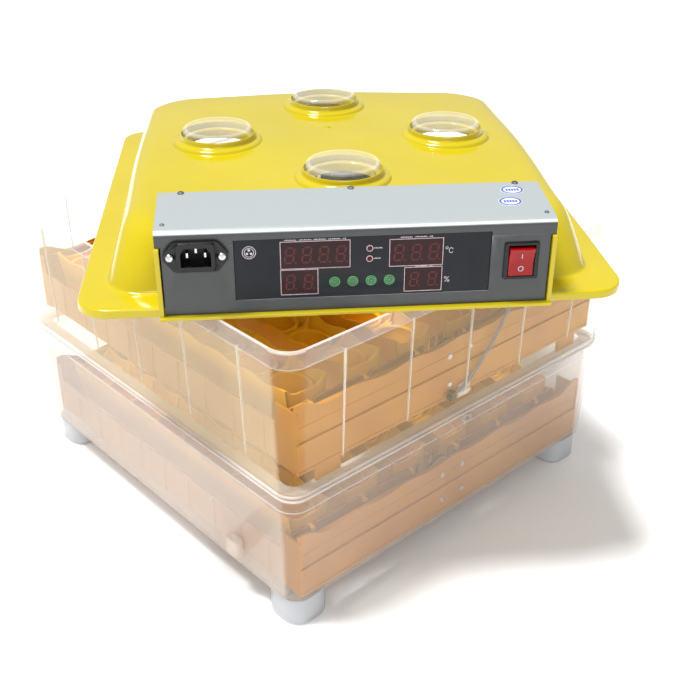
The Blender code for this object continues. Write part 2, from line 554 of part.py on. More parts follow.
def build():
    clear_scene()
    clear_pp = material("clear_polypropylene", (0.86, 0.86, 0.86), 0.25, clear=0.6)
    foot_pp = material("frosted_polypropylene", (0.78, 0.80, 0.83), 0.5, clear=0.3)
    yellow = material("yellow_abs", (0.85, 0.62, 0.03), 0.25)
    orange = material("orange_abs", (0.83, 0.40, 0.05), 0.4)
    grey = material("grey_painted_steel", (0.36, 0.38, 0.39), 0.4)
    slate = material("slate_fascia", (0.05, 0.055, 0.07), 0.4)
    maroon = material("display_window", (0.05, 0.01, 0.01), 0.15)
    black = material("black_nylon", (0.012, 0.012, 0.012), 0.35)
    red = material("red_rocker", (0.5, 0.01, 0.01), 0.2)
    green = material("green_button", (0.1, 0.35, 0.15), 0.4)
    clear = material("clear_styrene", (0.95, 0.95, 0.93), 0.05, clear=0.9)
    steel = material("bright_steel", (0.6, 0.6, 0.6), 0.3, 1.0)
    cable = material("grey_cable", (0.25, 0.25, 0.26), 0.5)
    board = material("circuit_board", (0.02, 0.12, 0.05), 0.5)
    lamp = material("indicator_red", (0.3, 0.02, 0.02), 0.2)

    emit("base_box", make_base_box(), BOX, clear_pp)
    for name, sx, sy in (("front_left", -1, -1), ("front_right", 1, -1), ("back_left", -1, 1), ("back_right", 1, 1)):
        emit("foot_" + name, make_foot(sx * 185.5, sy * 192.6), BOX, foot_pp)
    emit("water_filler", make_water_filler(), BOX, foot_pp)
    emit("upper_box", make_upper_box(), BOX, clear_pp)
    for layer, z0 in TRAY_Z.items():
        emit(layer + "_tray_frame", make_tray_frame(z0, layer == "upper"), BOX, orange)
        for k, x in enumerate(STRIP_X):
            bm = make_strip()
            bmesh.ops.translate(bm, verts=bm.verts, vec=(x, 0, z0 + PIVOT_Z))
            emit("%s_strip_%d" % (layer, k + 1), bm, BOX, orange, (x, 0.0, z0 + PIVOT_Z))
        bar_pin = (STRIP_X[0], -181.5, z0 + PIVOT_Z - LINK_DROP)
        emit(layer + "_pull_bar", make_pull_bar(z0), BOX, orange, bar_pin)
        emit(layer + "_turn_motor", make_motor(z0), BOX, steel)
        emit(layer + "_crank", make_crank(z0), BOX, black, (MOTOR_X, -190.0, z0 + MOTOR_Z))
    make_cable().data.materials.append(cable)
    emit("lead_clip", make_lead_clip(), BOX, black)
    emit("lead_socket", make_lead_socket(), BOX, black)

    emit("lid_shell", make_lid_shell(), LID, yellow)
    for side, (x, y) in WINDOWS.items():
        emit("window_" + side, make_window(x, y), LID, clear)
    emit("control_cover", make_cover(), LID, grey)
    emit("control_fascia", make_fascia(), LID, slate)
    for name, (x0, x1, z0, z1) in DISPLAYS.items():
        emit(name, box(x0, x1, -238.4, -237.9, z0, z1), LID, maroon)
    for name, x in BUTTONS.items():
        bm = lathe([(0, 0), (3.7, 0), (3.7, 4.6), (3.2, 5.2), (0, 5.2)], 16, "y", (x, -233.6, BUTTON_Z))
        emit("button_" + name, bm, LID, green, (x, -238.0, BUTTON_Z))
    for name, z in (("upper", 346.2), ("lower", 337.4)):
        bm = lathe([(0, 0), (2.0, 0), (2.0, 0.5), (1.2, 1.1), (0, 1.3)], 14, "y", (8.7, -237.9, z))
        emit("lamp_" + name, bm, LID, lamp)
    emit("power_inlet", make_inlet(), LID, black)
    emit("switch_bezel", make_bezel(), LID, black)
    emit("switch_rocker", make_rocker(), LID, red, (SWITCH_X, ROCKER_Y, SWITCH_Z))
    emit("fan_frame", make_fan_frame(), LID, black)
    emit("fan_rotor", make_rotor(), LID, black, (0.0, 35.0, 324.0))
    emit("fan_guard", make_guard(), LID, steel)
    emit("heater_ring", make_heater(), LID, steel)
    emit("circuit_board", box(-100.0, 100.0, -230.6, -229.0, 303.0, 357.0), LID, board)
    probe, pivot = make_probe()
    emit("sensor_probe", probe, Matrix.Identity(4), steel, pivot)
    for k, x in enumerate((-138.7, 0.0, 137.6)):
        z = COVER_TOP + 0.3
        bm = lathe([(0, z), (3.0, z), (2.8, z + 0.9), (0, z + 1.5)], 12, at=(x, -168.0 - 5.0, 0))
        emit("cover_screw_%d" % (k + 1), bm, LID, steel)


build()
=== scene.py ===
"""Looks for the two-layer egg incubator: clear boxes with turning egg trays under a yellow lid set askew."""
import json
from math import atan2, cos, hypot, pi, radians, sin

import bmesh
import bpy
from mathutils import Matrix, Vector


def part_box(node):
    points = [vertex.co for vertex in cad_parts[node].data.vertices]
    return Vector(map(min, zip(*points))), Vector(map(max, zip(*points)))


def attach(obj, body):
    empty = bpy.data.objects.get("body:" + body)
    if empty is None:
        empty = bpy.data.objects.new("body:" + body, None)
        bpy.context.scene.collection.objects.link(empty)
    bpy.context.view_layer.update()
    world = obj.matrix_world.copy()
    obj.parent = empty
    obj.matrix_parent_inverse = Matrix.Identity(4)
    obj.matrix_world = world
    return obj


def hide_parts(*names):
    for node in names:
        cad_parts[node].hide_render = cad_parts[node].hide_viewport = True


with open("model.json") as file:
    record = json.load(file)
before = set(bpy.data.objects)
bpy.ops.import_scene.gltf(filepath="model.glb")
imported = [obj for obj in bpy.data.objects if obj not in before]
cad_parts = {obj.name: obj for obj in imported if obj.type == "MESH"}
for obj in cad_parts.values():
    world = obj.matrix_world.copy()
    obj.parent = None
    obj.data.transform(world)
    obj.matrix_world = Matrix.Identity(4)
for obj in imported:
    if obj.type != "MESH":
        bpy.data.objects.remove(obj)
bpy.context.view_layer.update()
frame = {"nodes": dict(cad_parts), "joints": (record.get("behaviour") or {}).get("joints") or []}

# Frames: shapes are drawn in millimetres in the boxes' or the lid's own frame.
MM = 0.001
JOINTS = {j["name"]: j for j in frame["joints"]}
TUB_LOW, TUB_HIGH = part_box("base_box")
BOX = Matrix.Translation(((TUB_LOW.x + TUB_HIGH.x) / 2, (TUB_LOW.y + TUB_HIGH.y) / 2, 0))
LID = Matrix.Rotation(-radians(JOINTS["lid_turn"]["range_deg"][1]), 4, "Z")

# Driving sizes, in millimetres, as in the CAD
BOX_W, BOX_D, BOX_R = 440, 454.2, 21
RIM_Z = 291.3
LID_W, LID_D = 451.9, 468.3
SKIRT_Z, FLANGE_Z, DOME_Z = 291.6, 299, 353
CROWN_Z, COLLAR_Z, WINDOW_TOP = 356.6, 360.6, 372.9
WINDOWS = {"front": (0, -105.6), "left": (-111.5, 5.5), "right": (111.5, 5.5), "back": (0, 116.6)}
PANEL_Y, PANEL_HALF, COVER_HALF = -238.5, 153.1, 157.4
PANEL_Z0, NOTCH_Z, BEND_Z, COVER_TOP, COVER_BACK = 294.7, 352.8, 366.4, 372.2, -171
BEND_R, SHEET = 6, 1.2
FASCIA, FASCIA_Y = (-97.5, 105.5, 305.6, 356.9), -237.9
INLET_X, INLET_Z = -126.3, 345.4
SWITCH_X, SWITCH_Z = 130.3, 331.4
TRAY_Z = {"lower": 31.5, "upper": 164}
STRIP_X = (-160, -96, -32, 32, 96, 160)
STRIP_Y0, STRIP_Y1, STRIP_FOOT, CUPS, PIVOT_Z = -179.5, 199, -27, 8, 42
CUP_PITCH = (STRIP_Y1 - STRIP_Y0) / CUPS
MOTOR_X, MOTOR_Z = -2, 30
RIM_HOLE = (0, -BOX_D / 2, 140.2)
TRAY_END = 198
BUTTONS = {"set": -19, "start": -4.5, "up": 10.1, "down": 24.6}
BUTTON_Z, BUTTON_R = 318.5, 3.2
LAMP_X, LAMPS = 8.7, {"upper": 346.2, "lower": 337.4}
DISPLAYS = {"timer": (-60.8, -7.3, 331.5, 353.6, 4), "days": (-61, -32.7, 309.2, 329.7, 2),
            "temperature": (24.9, 66.4, 330.5, 352.6, 3), "humidity": (37.2, 66.3, 308.2, 328.1, 2)}


# ---- materials

class Paint:
    """A Principled material with helpers that wire procedural detail into it."""

    def __init__(self, name, metal=0, spec=0.5):
        self.mat = bpy.data.materials.new(name)
        self.mat.use_nodes = True
        self.tree = self.mat.node_tree
        self.bsdf = self.tree.nodes["Principled BSDF"]
        self.set({"Metallic": metal, "Specular IOR Level": spec})
        self.coord = self.node("TexCoord").outputs["Object"]
        self.height = None

    def set(self, values, node=None):
        for key, value in values.items():
            (node or self.bsdf).inputs[key].default_value = value

    def node(self, kind, **values):
        node = self.tree.nodes.new("ShaderNode" + kind)
        self.set(values, node)
        return node

    def link(self, a, b):
        self.tree.links.new(a, b)

    def noise(self, scale, detail=3, stretch=None):
        tex = self.node("TexNoise", Scale=scale, Detail=detail, Roughness=0.55)
        source = self.coord
        if stretch:
            mapping = self.node("Mapping", Scale=stretch)
            self.link(source, mapping.inputs["Vector"])
            source = mapping.outputs["Vector"]
        self.link(source, tex.inputs["Vector"])
        return tex.outputs["Fac"]

    def remap(self, socket, a, b, low, high):
        node = self.node("MapRange")
        self.set({"From Min": a, "From Max": b, "To Min": low, "To Max": high}, node)
        self.link(socket, node.inputs["Value"])
        return node.outputs["Result"]

    def math(self, op, a, b):
        node = self.node("Math")
        node.operation = op
        for slot, value in zip(node.inputs, (a, b)):
            if isinstance(value, (int, float)):
                slot.default_value = value
            else:
                self.link(value, slot)
        return node.outputs[0]

    def glance(self, most):
        """Extra cover towards glancing angles, the same from both sides of a wall."""
        facing = self.node("LayerWeight", Blend=0.5).outputs["Facing"]
        return self.math("MULTIPLY", self.math("POWER", facing, 2.2), most)

    def ramp(self, socket, stops):
        node = self.node("ValToRGB")
        elements = node.color_ramp.elements
        while len(elements) < len(stops):
            elements.new(0.5)
        for element, (place, rgb) in zip(elements, stops):
            element.position = place
            element.color = (*rgb, 1)
        self.link(socket, node.inputs["Fac"])
        return node.outputs["Color"]

    def rough_from(self, socket, low, high):
        self.link(self.remap(socket, 0.3, 0.7, low, high), self.bsdf.inputs["Roughness"])

    def colour_from(self, socket, first, second, a=0.35, b=0.65):
        self.link(self.ramp(socket, [(a, first), (b, second)]), self.bsdf.inputs["Base Color"])

    def bump(self, socket, strength, distance):
        node = self.node("Bump", Strength=strength, Distance=distance)
        self.link(socket, node.inputs["Height"])
        if self.height is not None:
            self.link(self.height, node.inputs["Normal"])
        self.height = node.outputs["Normal"]
        self.link(self.height, self.bsdf.inputs["Normal"])


def linear(r, g, b):
    """sRGB 0-255 to linear."""
    return tuple(((c / 255 + 0.055) / 1.055) ** 2.4 if c > 10 else c / 3294.6 for c in (r, g, b))


def milky(name, colour, haze, corner, rough, painted_lit_haze=0):
    """Thin translucent plastic: hazy on its flat walls and clearer in its corners, with extra haze painted on
    the walls at the x ends as painted light, so they look lit brighter.
    """
    rgb = linear(*colour)
    p = Paint(name)
    cloud = p.noise(7, 3, (1, 1, 0.6))
    p.rough_from(cloud, rough - 0.04, rough + 0.06)
    p.colour_from(cloud, tuple(c * 0.94 for c in rgb), rgb)
    shift, split = p.node("VectorMath"), p.node("SeparateXYZ")
    shift.operation = "SUBTRACT"
    shift.inputs[1].default_value = BOX.to_translation()
    p.link(p.coord, shift.inputs[0])
    p.link(shift.outputs["Vector"], split.inputs["Vector"])
    off_x, off_y = (p.math("ABSOLUTE", split.outputs[axis], 0) for axis in "XY")
    near_x, near_y = (p.remap(off, (size / 2 - BOX_R - 2.5) * MM, (size / 2 - BOX_R - 1) * MM, 0, 1)
                      for off, size in ((off_x, BOX_W), (off_y, BOX_D)))
    at_corner = p.math("MULTIPLY", near_x, near_y)
    wall = p.remap(cloud, 0.3, 0.7, haze * 0.9, haze * 1.1)
    # Painted light: extra haze on the walls at the x ends, away from the corners, makes them look lit
    # brighter.
    painted_lit_wall = p.remap(off_x, (BOX_W / 2 - 18) * MM, (BOX_W / 2 - 12) * MM, 0, painted_lit_haze)
    wall = p.math("ADD", wall, p.math("MULTIPLY", painted_lit_wall, p.math("SUBTRACT", 1, at_corner)))
    clear = p.math("SUBTRACT", wall, p.math("MULTIPLY", at_corner, haze - corner))
    p.link(p.math("ADD", clear, p.glance(0.3)), p.bsdf.inputs["Alpha"])
    p.bump(p.noise(900, 2), 0.04, 0.00004)
    return p.mat


# Solid finishes: key, name, metal, specular, scale and detail of the tint's noise, the two tints, scale of
# the gloss noise and the range of roughness
SOLIDS = (
    ("yellow", "YellowLid", 0, 0.4, 6, 4, (179, 162, 8), (186, 168, 11), 45, 0.12, 0.2),
    ("orange", "OrangeTray", 0, 0.3, 14, 4, (172, 107, 5), (188, 125, 10), 120, 0.3, 0.46),
    # The strips' orange is the rails' orange painted brighter: painted light for strips that sit in shade
    # under the lid.
    ("orange_strip", "OrangeStripPaintedLight", 0, 0.3, 14, 4, (250, 178, 26), (255, 198, 44), 120, 0.3, 0.46),
    ("slate", "SlateFascia", 0, 0.22, 30, 5, (18, 22, 27), (25, 29, 34), 160, 0.3, 0.44),
    ("maroon", "DisplayWindow", 0, 0.22, 40, 3, (35, 8, 9), (43, 13, 14), 200, 0.16, 0.26),
    ("segment", "UnlitSegment", 0, 0.25, 300, 3, (74, 22, 25), (86, 30, 33), 300, 0.25, 0.35),
    ("ink", "LegendInk", 0, 0.5, 900, 3, (176, 168, 176), (206, 200, 206), 400, 0.45, 0.6),
    ("black", "BlackNylon", 0, 0.35, 80, 4, (10, 10, 11), (16, 16, 17), 180, 0.26, 0.42),
    ("red", "RedRocker", 0, 0.25, 50, 3, (128, 3, 6), (150, 6, 10), 260, 0.1, 0.2),
    ("green", "GreenRing", 0, 0.5, 300, 3, (72, 146, 86), (98, 172, 112), 300, 0.4, 0.55),
    ("button", "ButtonCap", 0, 0.5, 300, 3, (50, 68, 60), (66, 86, 76), 300, 0.35, 0.5),
    ("steel", "BrightSteel", 1, 0.5, 60, 3, (184, 184, 182), (206, 206, 205), 120, 0.2, 0.4),
    ("screw", "ScrewZinc", 1, 0.5, 90, 3, (132, 134, 136), (158, 160, 162), 160, 0.3, 0.44),
    ("cable", "GreyCable", 0, 0.5, 140, 3, (108, 107, 111), (132, 131, 134), 200, 0.4, 0.55),
    ("board", "CircuitBoard", 0, 0.5, 220, 2, (18, 78, 42), (40, 112, 66), 300, 0.3, 0.5),
    ("lamp", "IndicatorRed", 0, 0.25, 300, 3, (48, 6, 8), (76, 12, 14), 300, 0.1, 0.2),
    ("pink", "PaleRing", 0, 0.5, 300, 3, (180, 154, 160), (206, 182, 188), 300, 0.35, 0.5),
    ("blue", "BlueSticker", 0, 0.5, 500, 3, (68, 84, 160), (88, 104, 178), 300, 0.3, 0.42),
    ("white", "StickerWhite", 0, 0.5, 500, 3, (204, 210, 230), (222, 228, 240), 300, 0.3, 0.42))
# Where the tints meet, detail and stretch of the gloss noise, and bumps: noise, strength and depth in metres
TINT_EDGES = {"board": (0.46, 0.54)}
GLOSS = {"yellow": (4,), "steel": (4, (1, 8, 1))}
BUMPS = {"yellow": (((350, 2), 0.1, 0.0002), ((6, 4), 0.12, 0.002)), "orange": (((700,), 0.25, 0.00015),),
         "slate": (((2200,), 0.2, 0.00006),), "black": (((1400,), 0.3, 0.0001),),
         "steel": (((500, 3, (1, 10, 1)), 0.15, 0.0001),)}
EXTRA = {"orange": {"Subsurface Weight": 0.15, "Subsurface Radius": (0.004, 0.002, 0.0006),
                    "Subsurface Scale": 1},
         "yellow": {"Coat Weight": 0.2, "Coat Roughness": 0.06},
         # The rocker's faint red emission is a painted glow, standing in for light through its translucent
         # red cap.
         "red": {"Coat Weight": 0.1, "Coat Roughness": 0.05, "Emission Color": (*linear(190, 6, 8), 1),
                 "Emission Strength": 0.05}}
BUMPS["orange_strip"], EXTRA["orange_strip"] = BUMPS["orange"], EXTRA["orange"]


def make_materials():
    m = {"clear_upper": milky("PolypropyleneClear", (220, 200, 162), 0.08, 0.03, 0.16, 0.17),
         "clear_lower": milky("PolypropyleneHazy", (216, 200, 184), 0.125, 0.09, 0.2, 0.16),
         # The rim and lip copies are the same plastic: the rim's whiter, hazier tone is a painted highlight,
         # the lip's greyer tone is painted shade.
         "clear_rim": milky("PolypropyleneRimHighlight", (234, 229, 222), 0.5, 0.4, 0.12),
         "clear_lip": milky("PolypropyleneLipShade", (200, 194, 187), 0.2, 0.14, 0.12)}
    for key, name, metal, spec, tint, detail, dull, bright, gloss, low, high in SOLIDS:
        p = Paint(name, metal, spec)
        p.colour_from(p.noise(tint, detail), linear(*dull), linear(*bright), *TINT_EDGES.get(key, ()))
        p.rough_from(p.noise(gloss, *GLOSS.get(key, ())), low, high)
        for noise, strength, depth in BUMPS.get(key, ()):
            p.bump(p.noise(*noise), strength, depth)
        p.set(EXTRA.get(key, {}))
        m[key] = p.mat

    p = Paint("PolypropyleneFrosted")
    p.set({"Base Color": (*linear(206, 208, 212), 1), "Alpha": 0.5})
    p.rough_from(p.noise(60), 0.35, 0.5)
    p.bump(p.noise(1500), 0.3, 0.0001)
    m["frosted"] = p.mat

    # Painted light by the normal: the sheet's colour is painted darker on its front, with a painted highlight
    # along the bend and painted light on its top.
    p = Paint("GreySteelPaint", spec=0.6)
    split = p.node("SeparateXYZ")
    p.link(p.node("NewGeometry").outputs["Normal"], split.inputs["Vector"])
    up = p.remap(split.outputs["Z"], 0.1, 0.9, 0, 1)
    painted_light_tone = p.math("ADD", up, p.remap(p.noise(2600, 2), 0.3, 0.7, -0.03, 0.03))
    # Stops of painted light: dark front, bright painted highlight at the bend, lighter painted top.
    painted_light_greys = ((0, (47, 50, 51)), (0.3, (66, 70, 71)), (0.62, (240, 242, 242)), (0.84, (158, 164, 165)),
             (1, (151, 157, 158)))
    p.link(p.ramp(painted_light_tone, [(place, linear(*rgb)) for place, rgb in painted_light_greys]), p.bsdf.inputs["Base Color"])
    p.rough_from(p.noise(90, 4), 0.28, 0.4)
    p.bump(p.noise(1300, 3), 0.35, 0.00012)
    m["grey"] = p.mat

    for key, name, cover, edge in (("window", "ClearStyrene", 0.07, 0.2),
                                   ("window_face", "ClearStyreneFace", 0.085, 0.1),
                                   ("window_rim", "ClearStyreneRim", 0.22, 0.2)):
        p = Paint(name)
        p.set({"Base Color": (*linear(246, 244, 236), 1)})
        haze = p.noise(60, 3)
        cloud = p.remap(haze, 0.3, 0.7, cover * 0.85, cover * 1.15)
        p.link(p.math("ADD", cloud, p.glance(edge)), p.bsdf.inputs["Alpha"])
        p.rough_from(haze, 0.03, 0.08)
        m[key] = p.mat
    return m


M = make_materials()
# The CAD's material slot that each material stands for
SLOTS = {"clear_polypropylene": "clear_upper clear_lower clear_rim clear_lip",
         "frosted_polypropylene": "frosted", "orange_abs": "orange orange_strip", "yellow_abs": "yellow",
         "clear_styrene": "window", "grey_painted_steel": "grey blue white", "slate_fascia": "slate ink",
         "display_window": "maroon segment pink", "bright_steel": "steel screw", "black_nylon": "black",
         "grey_cable": "cable", "red_rocker": "red", "green_button": "green button",
         "indicator_red": "lamp"}
SLOTS = {mat: slot for slot, mats in SLOTS.items() for mat in mats.split()}


# ---- mesh helpers

def rounded(hw, hd, r, z, steps=10):
    """Corner-rounded rectangle as a ring of points, counter-clockwise."""
    pts = []
    for sx, sy, start in ((1, 1, 0), (-1, 1, 90), (-1, -1, 180), (1, -1, 270)):
        for k in range(steps + 1):
            a = radians(start + 90 * k / steps)
            pts.append((sx * (hw - r) + r * cos(a), sy * (hd - r) + r * sin(a), z))
    return pts


def plate_outline(cx, cz, hw, hd, r, steps):
    """Rounded rectangle about a point, as (x, z) pairs."""
    return [(x + cx, z + cz) for x, z, _ in rounded(hw, hd, r, 0, steps)]


def loft(bm, rings, loop=False, caps=True):
    rows = [[bm.verts.new(p) for p in ring] for ring in rings]
    n = len(rows[0])
    for low, high in list(zip(rows, rows[1:])) + ([(rows[-1], rows[0])] if loop else []):
        for i in range(n):
            j = (i + 1) % n
            bm.faces.new((low[i], low[j], high[j], high[i]))
    if caps and not loop:
        bm.faces.new(list(reversed(rows[0])))
        bm.faces.new(rows[-1])


def box(bm, x0, x1, y0, y1, z0, z1):
    """Block between two corners, given in any order."""
    size = Matrix.Diagonal((abs(x1 - x0), abs(y1 - y0), abs(z1 - z0), 1))
    mid = Matrix.Translation(((x0 + x1) / 2, (y0 + y1) / 2, (z0 + z1) / 2))
    bmesh.ops.create_cube(bm, size=1, matrix=mid @ size)


def prism(bm, points, a, b, axis):
    """Extrude a 2-D outline from a to b. Axis x takes (y, z) points, y takes (x, z), z takes (x, y)."""
    def at(p, t):
        return {"x": (t, p[0], p[1]), "y": (p[0], t, p[1]), "z": (p[0], p[1], t)}[axis]
    loft(bm, [[at(p, a) for p in points], [at(p, b) for p in points]])


def lathe(bm, profile, n=48, axis="z", at=(0, 0, 0), sx=1, sy=1):
    """Revolve (radius, height) points. On axis y the height runs along -y."""
    rows = []
    for r, h in profile:
        ring = []
        for k in range(1 if r < 1e-6 else n):
            a = 2 * pi * k / n
            p = (sx * r * cos(a), sy * r * sin(a), h)
            if axis == "y":
                p = (p[0], -p[2], p[1])
            ring.append(bm.verts.new(Vector(p) + Vector(at)))
        rows.append(ring)
    for low, high in zip(rows, rows[1:]):
        for i in range(n):
            j = (i + 1) % n
            corners = [row[k % len(row)] for row, k in ((low, i), (low, j), (high, j), (high, i))]
            bm.faces.new(list(dict.fromkeys(corners)))


def disc(bm, r0, r1, h0, h1, n, axis, at, sx=1, sy=1):
    """Solid disc where r0 is zero, else a flat ring."""
    profile = [(r0, h0), (r1, h0), (r1, h1), (r0, h1)]
    lathe(bm, profile + profile[:1] * (r0 > 0), n, axis, at, sx, sy)


def tube(bm, path, r, n=12):
    """Round tube along a path of points, with closed ends."""
    rings = []
    for k, p in enumerate(path):
        a, b = path[max(k - 1, 0)], path[min(k + 1, len(path) - 1)]
        t = (Vector(b) - Vector(a)).normalized()
        u = t.cross(Vector((0, 1, 0))).normalized()
        v = t.cross(u).normalized()
        turns = [2 * pi * i / n for i in range(n)]
        rings.append([Vector(p) + r * (cos(a) * u + sin(a) * v) for a in turns])
    loft(bm, rings)


def add(name, data):
    ob = bpy.data.objects.new(name, data)
    bpy.context.scene.collection.objects.link(ob)
    return ob


def soften(ob, width, angle=50):
    """Round the edges sharper than an angle."""
    mod = ob.modifiers.new("edges", "BEVEL")
    mod.width, mod.segments, mod.limit_method = width * MM, 2, "ANGLE"
    mod.angle_limit = radians(angle)
    return mod


def smooth(mesh, angle):
    mesh.shade_smooth()
    mesh.set_sharp_from_angle(angle=radians(angle))


def piece(name, bm, mat, body, nodes=(), bevel=0, angle=32):
    """Turn a millimetre bmesh into a smooth-shaded piece that rides on a body."""
    bmesh.ops.remove_doubles(bm, verts=bm.verts, dist=0.001)
    bmesh.ops.recalc_face_normals(bm, faces=bm.faces)
    where = BOX if body.startswith(("base", "lower", "upper")) else LID
    bmesh.ops.transform(bm, matrix=where @ Matrix.Scale(MM, 4), verts=bm.verts)
    mesh = bpy.data.meshes.new(name)
    bm.to_mesh(mesh)
    bm.free()
    smooth(mesh, angle)
    ob = add(name, mesh)
    mesh.materials.append(M[mat])
    if bevel:
        soften(ob, bevel, 35).harden_normals = True
    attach(ob, body)
    if nodes:
        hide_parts(*nodes)
    return ob


def cut_with(target, tools, where):
    """Cut holes with the exact solver and keep the result as the piece's mesh."""
    bmesh.ops.transform(tools, matrix=where @ Matrix.Scale(MM, 4), verts=tools.verts)
    bmesh.ops.recalc_face_normals(tools, faces=tools.faces)
    tool = add("tool", bpy.data.meshes.new("tool"))
    tools.to_mesh(tool.data)
    tools.free()
    mod = target.modifiers.new("cut", "BOOLEAN")
    mod.solver, mod.operation, mod.object, mod.use_self = "EXACT", "DIFFERENCE", tool, True
    bpy.context.view_layer.update()
    graph = bpy.context.evaluated_depsgraph_get()
    mesh = bpy.data.meshes.new_from_object(target.evaluated_get(graph))
    target.modifiers.remove(mod)
    target.data = mesh
    bpy.data.objects.remove(tool, do_unlink=True)


def screw_head(bm, x, y, z, r, h, axis="y"):
    """Pan head with a raised cross."""
    lathe(bm, [(0, 0), (r, 0), (r, h * 0.35), (r * 0.86, h * 0.75), (r * 0.5, h), (r * 0.3, h)], 20,
          axis, (x, y, z))
    a, d = r * 0.5, r * 0.12
    arms = [(-a, -d), (-d, -d), (-d, -a), (d, -a), (d, -d), (a, -d), (a, d), (d, d), (d, a), (-d, a), (-d, d),
            (-a, d)]
    if axis == "y":
        prism(bm, [(x + p, z + q) for p, q in arms], y - h * 0.2, y - h * 1.04, "y")
    else:
        prism(bm, [(x + p, y + q) for p, q in arms], z + h * 0.2, z + h * 1.04, "z")


def rim_bands(ob, low, high):
    """Between two heights, the upright faces get the greyer lip copy of the plastic as painted shade, the
    level faces the whiter rim copy as painted highlight.
    """
    for mat, level in (("clear_lip", 0), ("clear_rim", 0.35)):
        ob.data.materials.append(M[mat])
        for face in ob.data.polygons:
            if low * MM < face.center.z < high * MM and abs(face.normal.z) >= level:
                face.material_index = len(ob.data.materials) - 1


# ---- boxes

def box_ring(inset, z):
    return rounded(BOX_W / 2 - inset, BOX_D / 2 - inset, max(BOX_R - inset * 0.5, 6), z, 12)


def make_base_tub():
    bm = bmesh.new()
    outline = [(16.5, 28.9), (13.6, 29.1), (11.6, 30), (10.5, 31.9), (7.2, 133.2), (6.6, 134.2), (5, 134.8),
               (4.7, 135.6), (4.7, 146.4), (5.1, 147), (5.9, 147), (6.2, 146.4), (6.4, 143.8), (6.8, 143.5),
               (9.2, 143.5), (9.5, 143), (12.3, 34.2), (13, 32.2), (14.6, 31.3), (17.5, 31.1)]
    loft(bm, [box_ring(i, z) for i, z in outline])
    tub = piece("base_tub", bm, "clear_lower", "base", ["base_box"], angle=40)
    hole = bmesh.new()
    x, y, z = RIM_HOLE
    disc(hole, 0, 2.6, -6, 16, 20, "y", (x, y + 3, z), 1.5, 1)
    cut_with(tub, hole, BOX)
    rim_bands(tub, 133.3, 148)


def make_seam_details():
    bm = bmesh.new()
    x, y, z = RIM_HOLE
    lathe(bm, [(2.4, -0.4), (5.2, -0.4), (5.2, 1), (4.4, 1.6), (3, 1.6), (2.4, 1), (2.4, -0.4)], 24,
          "y", (x, y + 4.9, z), 1.25, 0.9)
    piece("rim_hole_eyelet", bm, "clear_lip", "base")
    bm = bmesh.new()
    lathe(bm, [(0, -1.5), (5, -1.5), (5.4, -0.8), (5.4, 2.2), (4.8, 3), (2.6, 3), (2.2, 2.2), (0, 2.2)],
          28, "y", (205.5, y + 6.4, 158))
    piece("seam_stud", bm, "clear_rim", "upper_box")


def make_upper_tub():
    bm = bmesh.new()
    outline = [(6.8, 143.9), (6.8, 147.1), (6.4, 147.4), (5.3, 147.4), (4.9, 147.8), (4.9, 150),
               (5.3, 150.5), (6.5, 151.6), (2.6, 273.8), (2.2, 274.9), (0.4, 275.6), (0, 276.3), (0, 289.6),
               (0.4, 290.7), (1.3, RIM_Z), (2.7, RIM_Z), (3.6, 290.7), (4, 289.8), (4.8, 273), (8.7, 153),
               (8.9, 150.3), (9.4, 150.1), (19.6, 150.1), (20, 149.7), (20, 148.2), (19.6, 147.8),
               (9.7, 147.8), (9.3, 147.4), (9.3, 143.9)]
    loft(bm, [box_ring(i, z) for i, z in outline], loop=True)
    tub = piece("upper_tub", bm, "clear_upper", "upper_box", ["upper_box"], angle=40)
    rim_bands(tub, 140, 152)
    rim_bands(tub, 274.5, 292)


def make_wall_ribs():
    """Slim stacking ribs moulded on the inside of the upper walls."""
    bm = bmesh.new()
    z0, z1 = 168, 274
    places = [("y", s, x) for s in (-1, 1) for x in (-154, -77, 0, 77, 154)]
    places += [("x", s, y) for s in (-1, 1) for y in (-160, -80, 0, 80, 160)]
    for axis, side, along in places:
        half = BOX_D / 2 if axis == "y" else BOX_W / 2
        rings = []
        for z, w, d in ((z0, 0.25, 0.2), (z0 + 3, 0.55, 1.8), (220, 0.6, 2), (z1 - 2, 0.75, 2.4),
                        (z1, 0.6, 2)):
            wall_inset = 8.7 - (z - 153) * (8.7 - 4.8) / 120
            face = half - wall_inset + 0.6
            corners = ((-w, face), (w, face), (w * 0.6, face - d), (-w * 0.6, face - d))
            rings.append([(along + u, side * v, z) if axis == "y" else (side * v, along + u, z)
                          for u, v in corners])
        loft(bm, rings)
    # The ribs take the whiter rim copy of the plastic, a painted highlight that shows them as bright lines.
    piece("wall_ribs", bm, "clear_rim", "upper_box", bevel=0.25)


def make_feet():
    outline = [(17, 0), (20.2, 0.25), (21.5, 1), (22, 2.4), (22, 27.6), (21.6, 28.5), (20.4, 28.6),
               (19.8, 28), (19.8, 4.2), (18.6, 2.9), (16, 2.6)]
    for end, sy in (("front", -1), ("back", 1)):
        for side, sx in (("left", -1), ("right", 1)):
            bm = bmesh.new()
            rings = [rounded(h, h, max(16 - (22 - h), 5), z, 8) for h, z in outline]
            loft(bm, [[(x + sx * 185.5, y + sy * 192.6, z) for x, y, z in ring] for ring in rings])
            name = end + "_" + side
            piece("foot_cup_" + name, bm, "frosted", "base", ["foot_" + name])


def make_filler():
    bm = bmesh.new()
    rings = [rounded(4.5 - g * 0.9, 9.5 - g, 3 - g * 0.7, z, 6) for g, z in
             ((1.5, 48), (0.3, 48.4), (0, 49.6), (0, 65.4), (0.5, 66), (1.1, 66), (1.4, 65.4), (1.5, 51.4),
              (2.6, 50))]
    loft(bm, [[(x - 215.7, y - 140.5, z) for x, y, z in ring] for ring in rings])
    piece("filler_cup", bm, "clear_lower", "base", ["water_filler"])


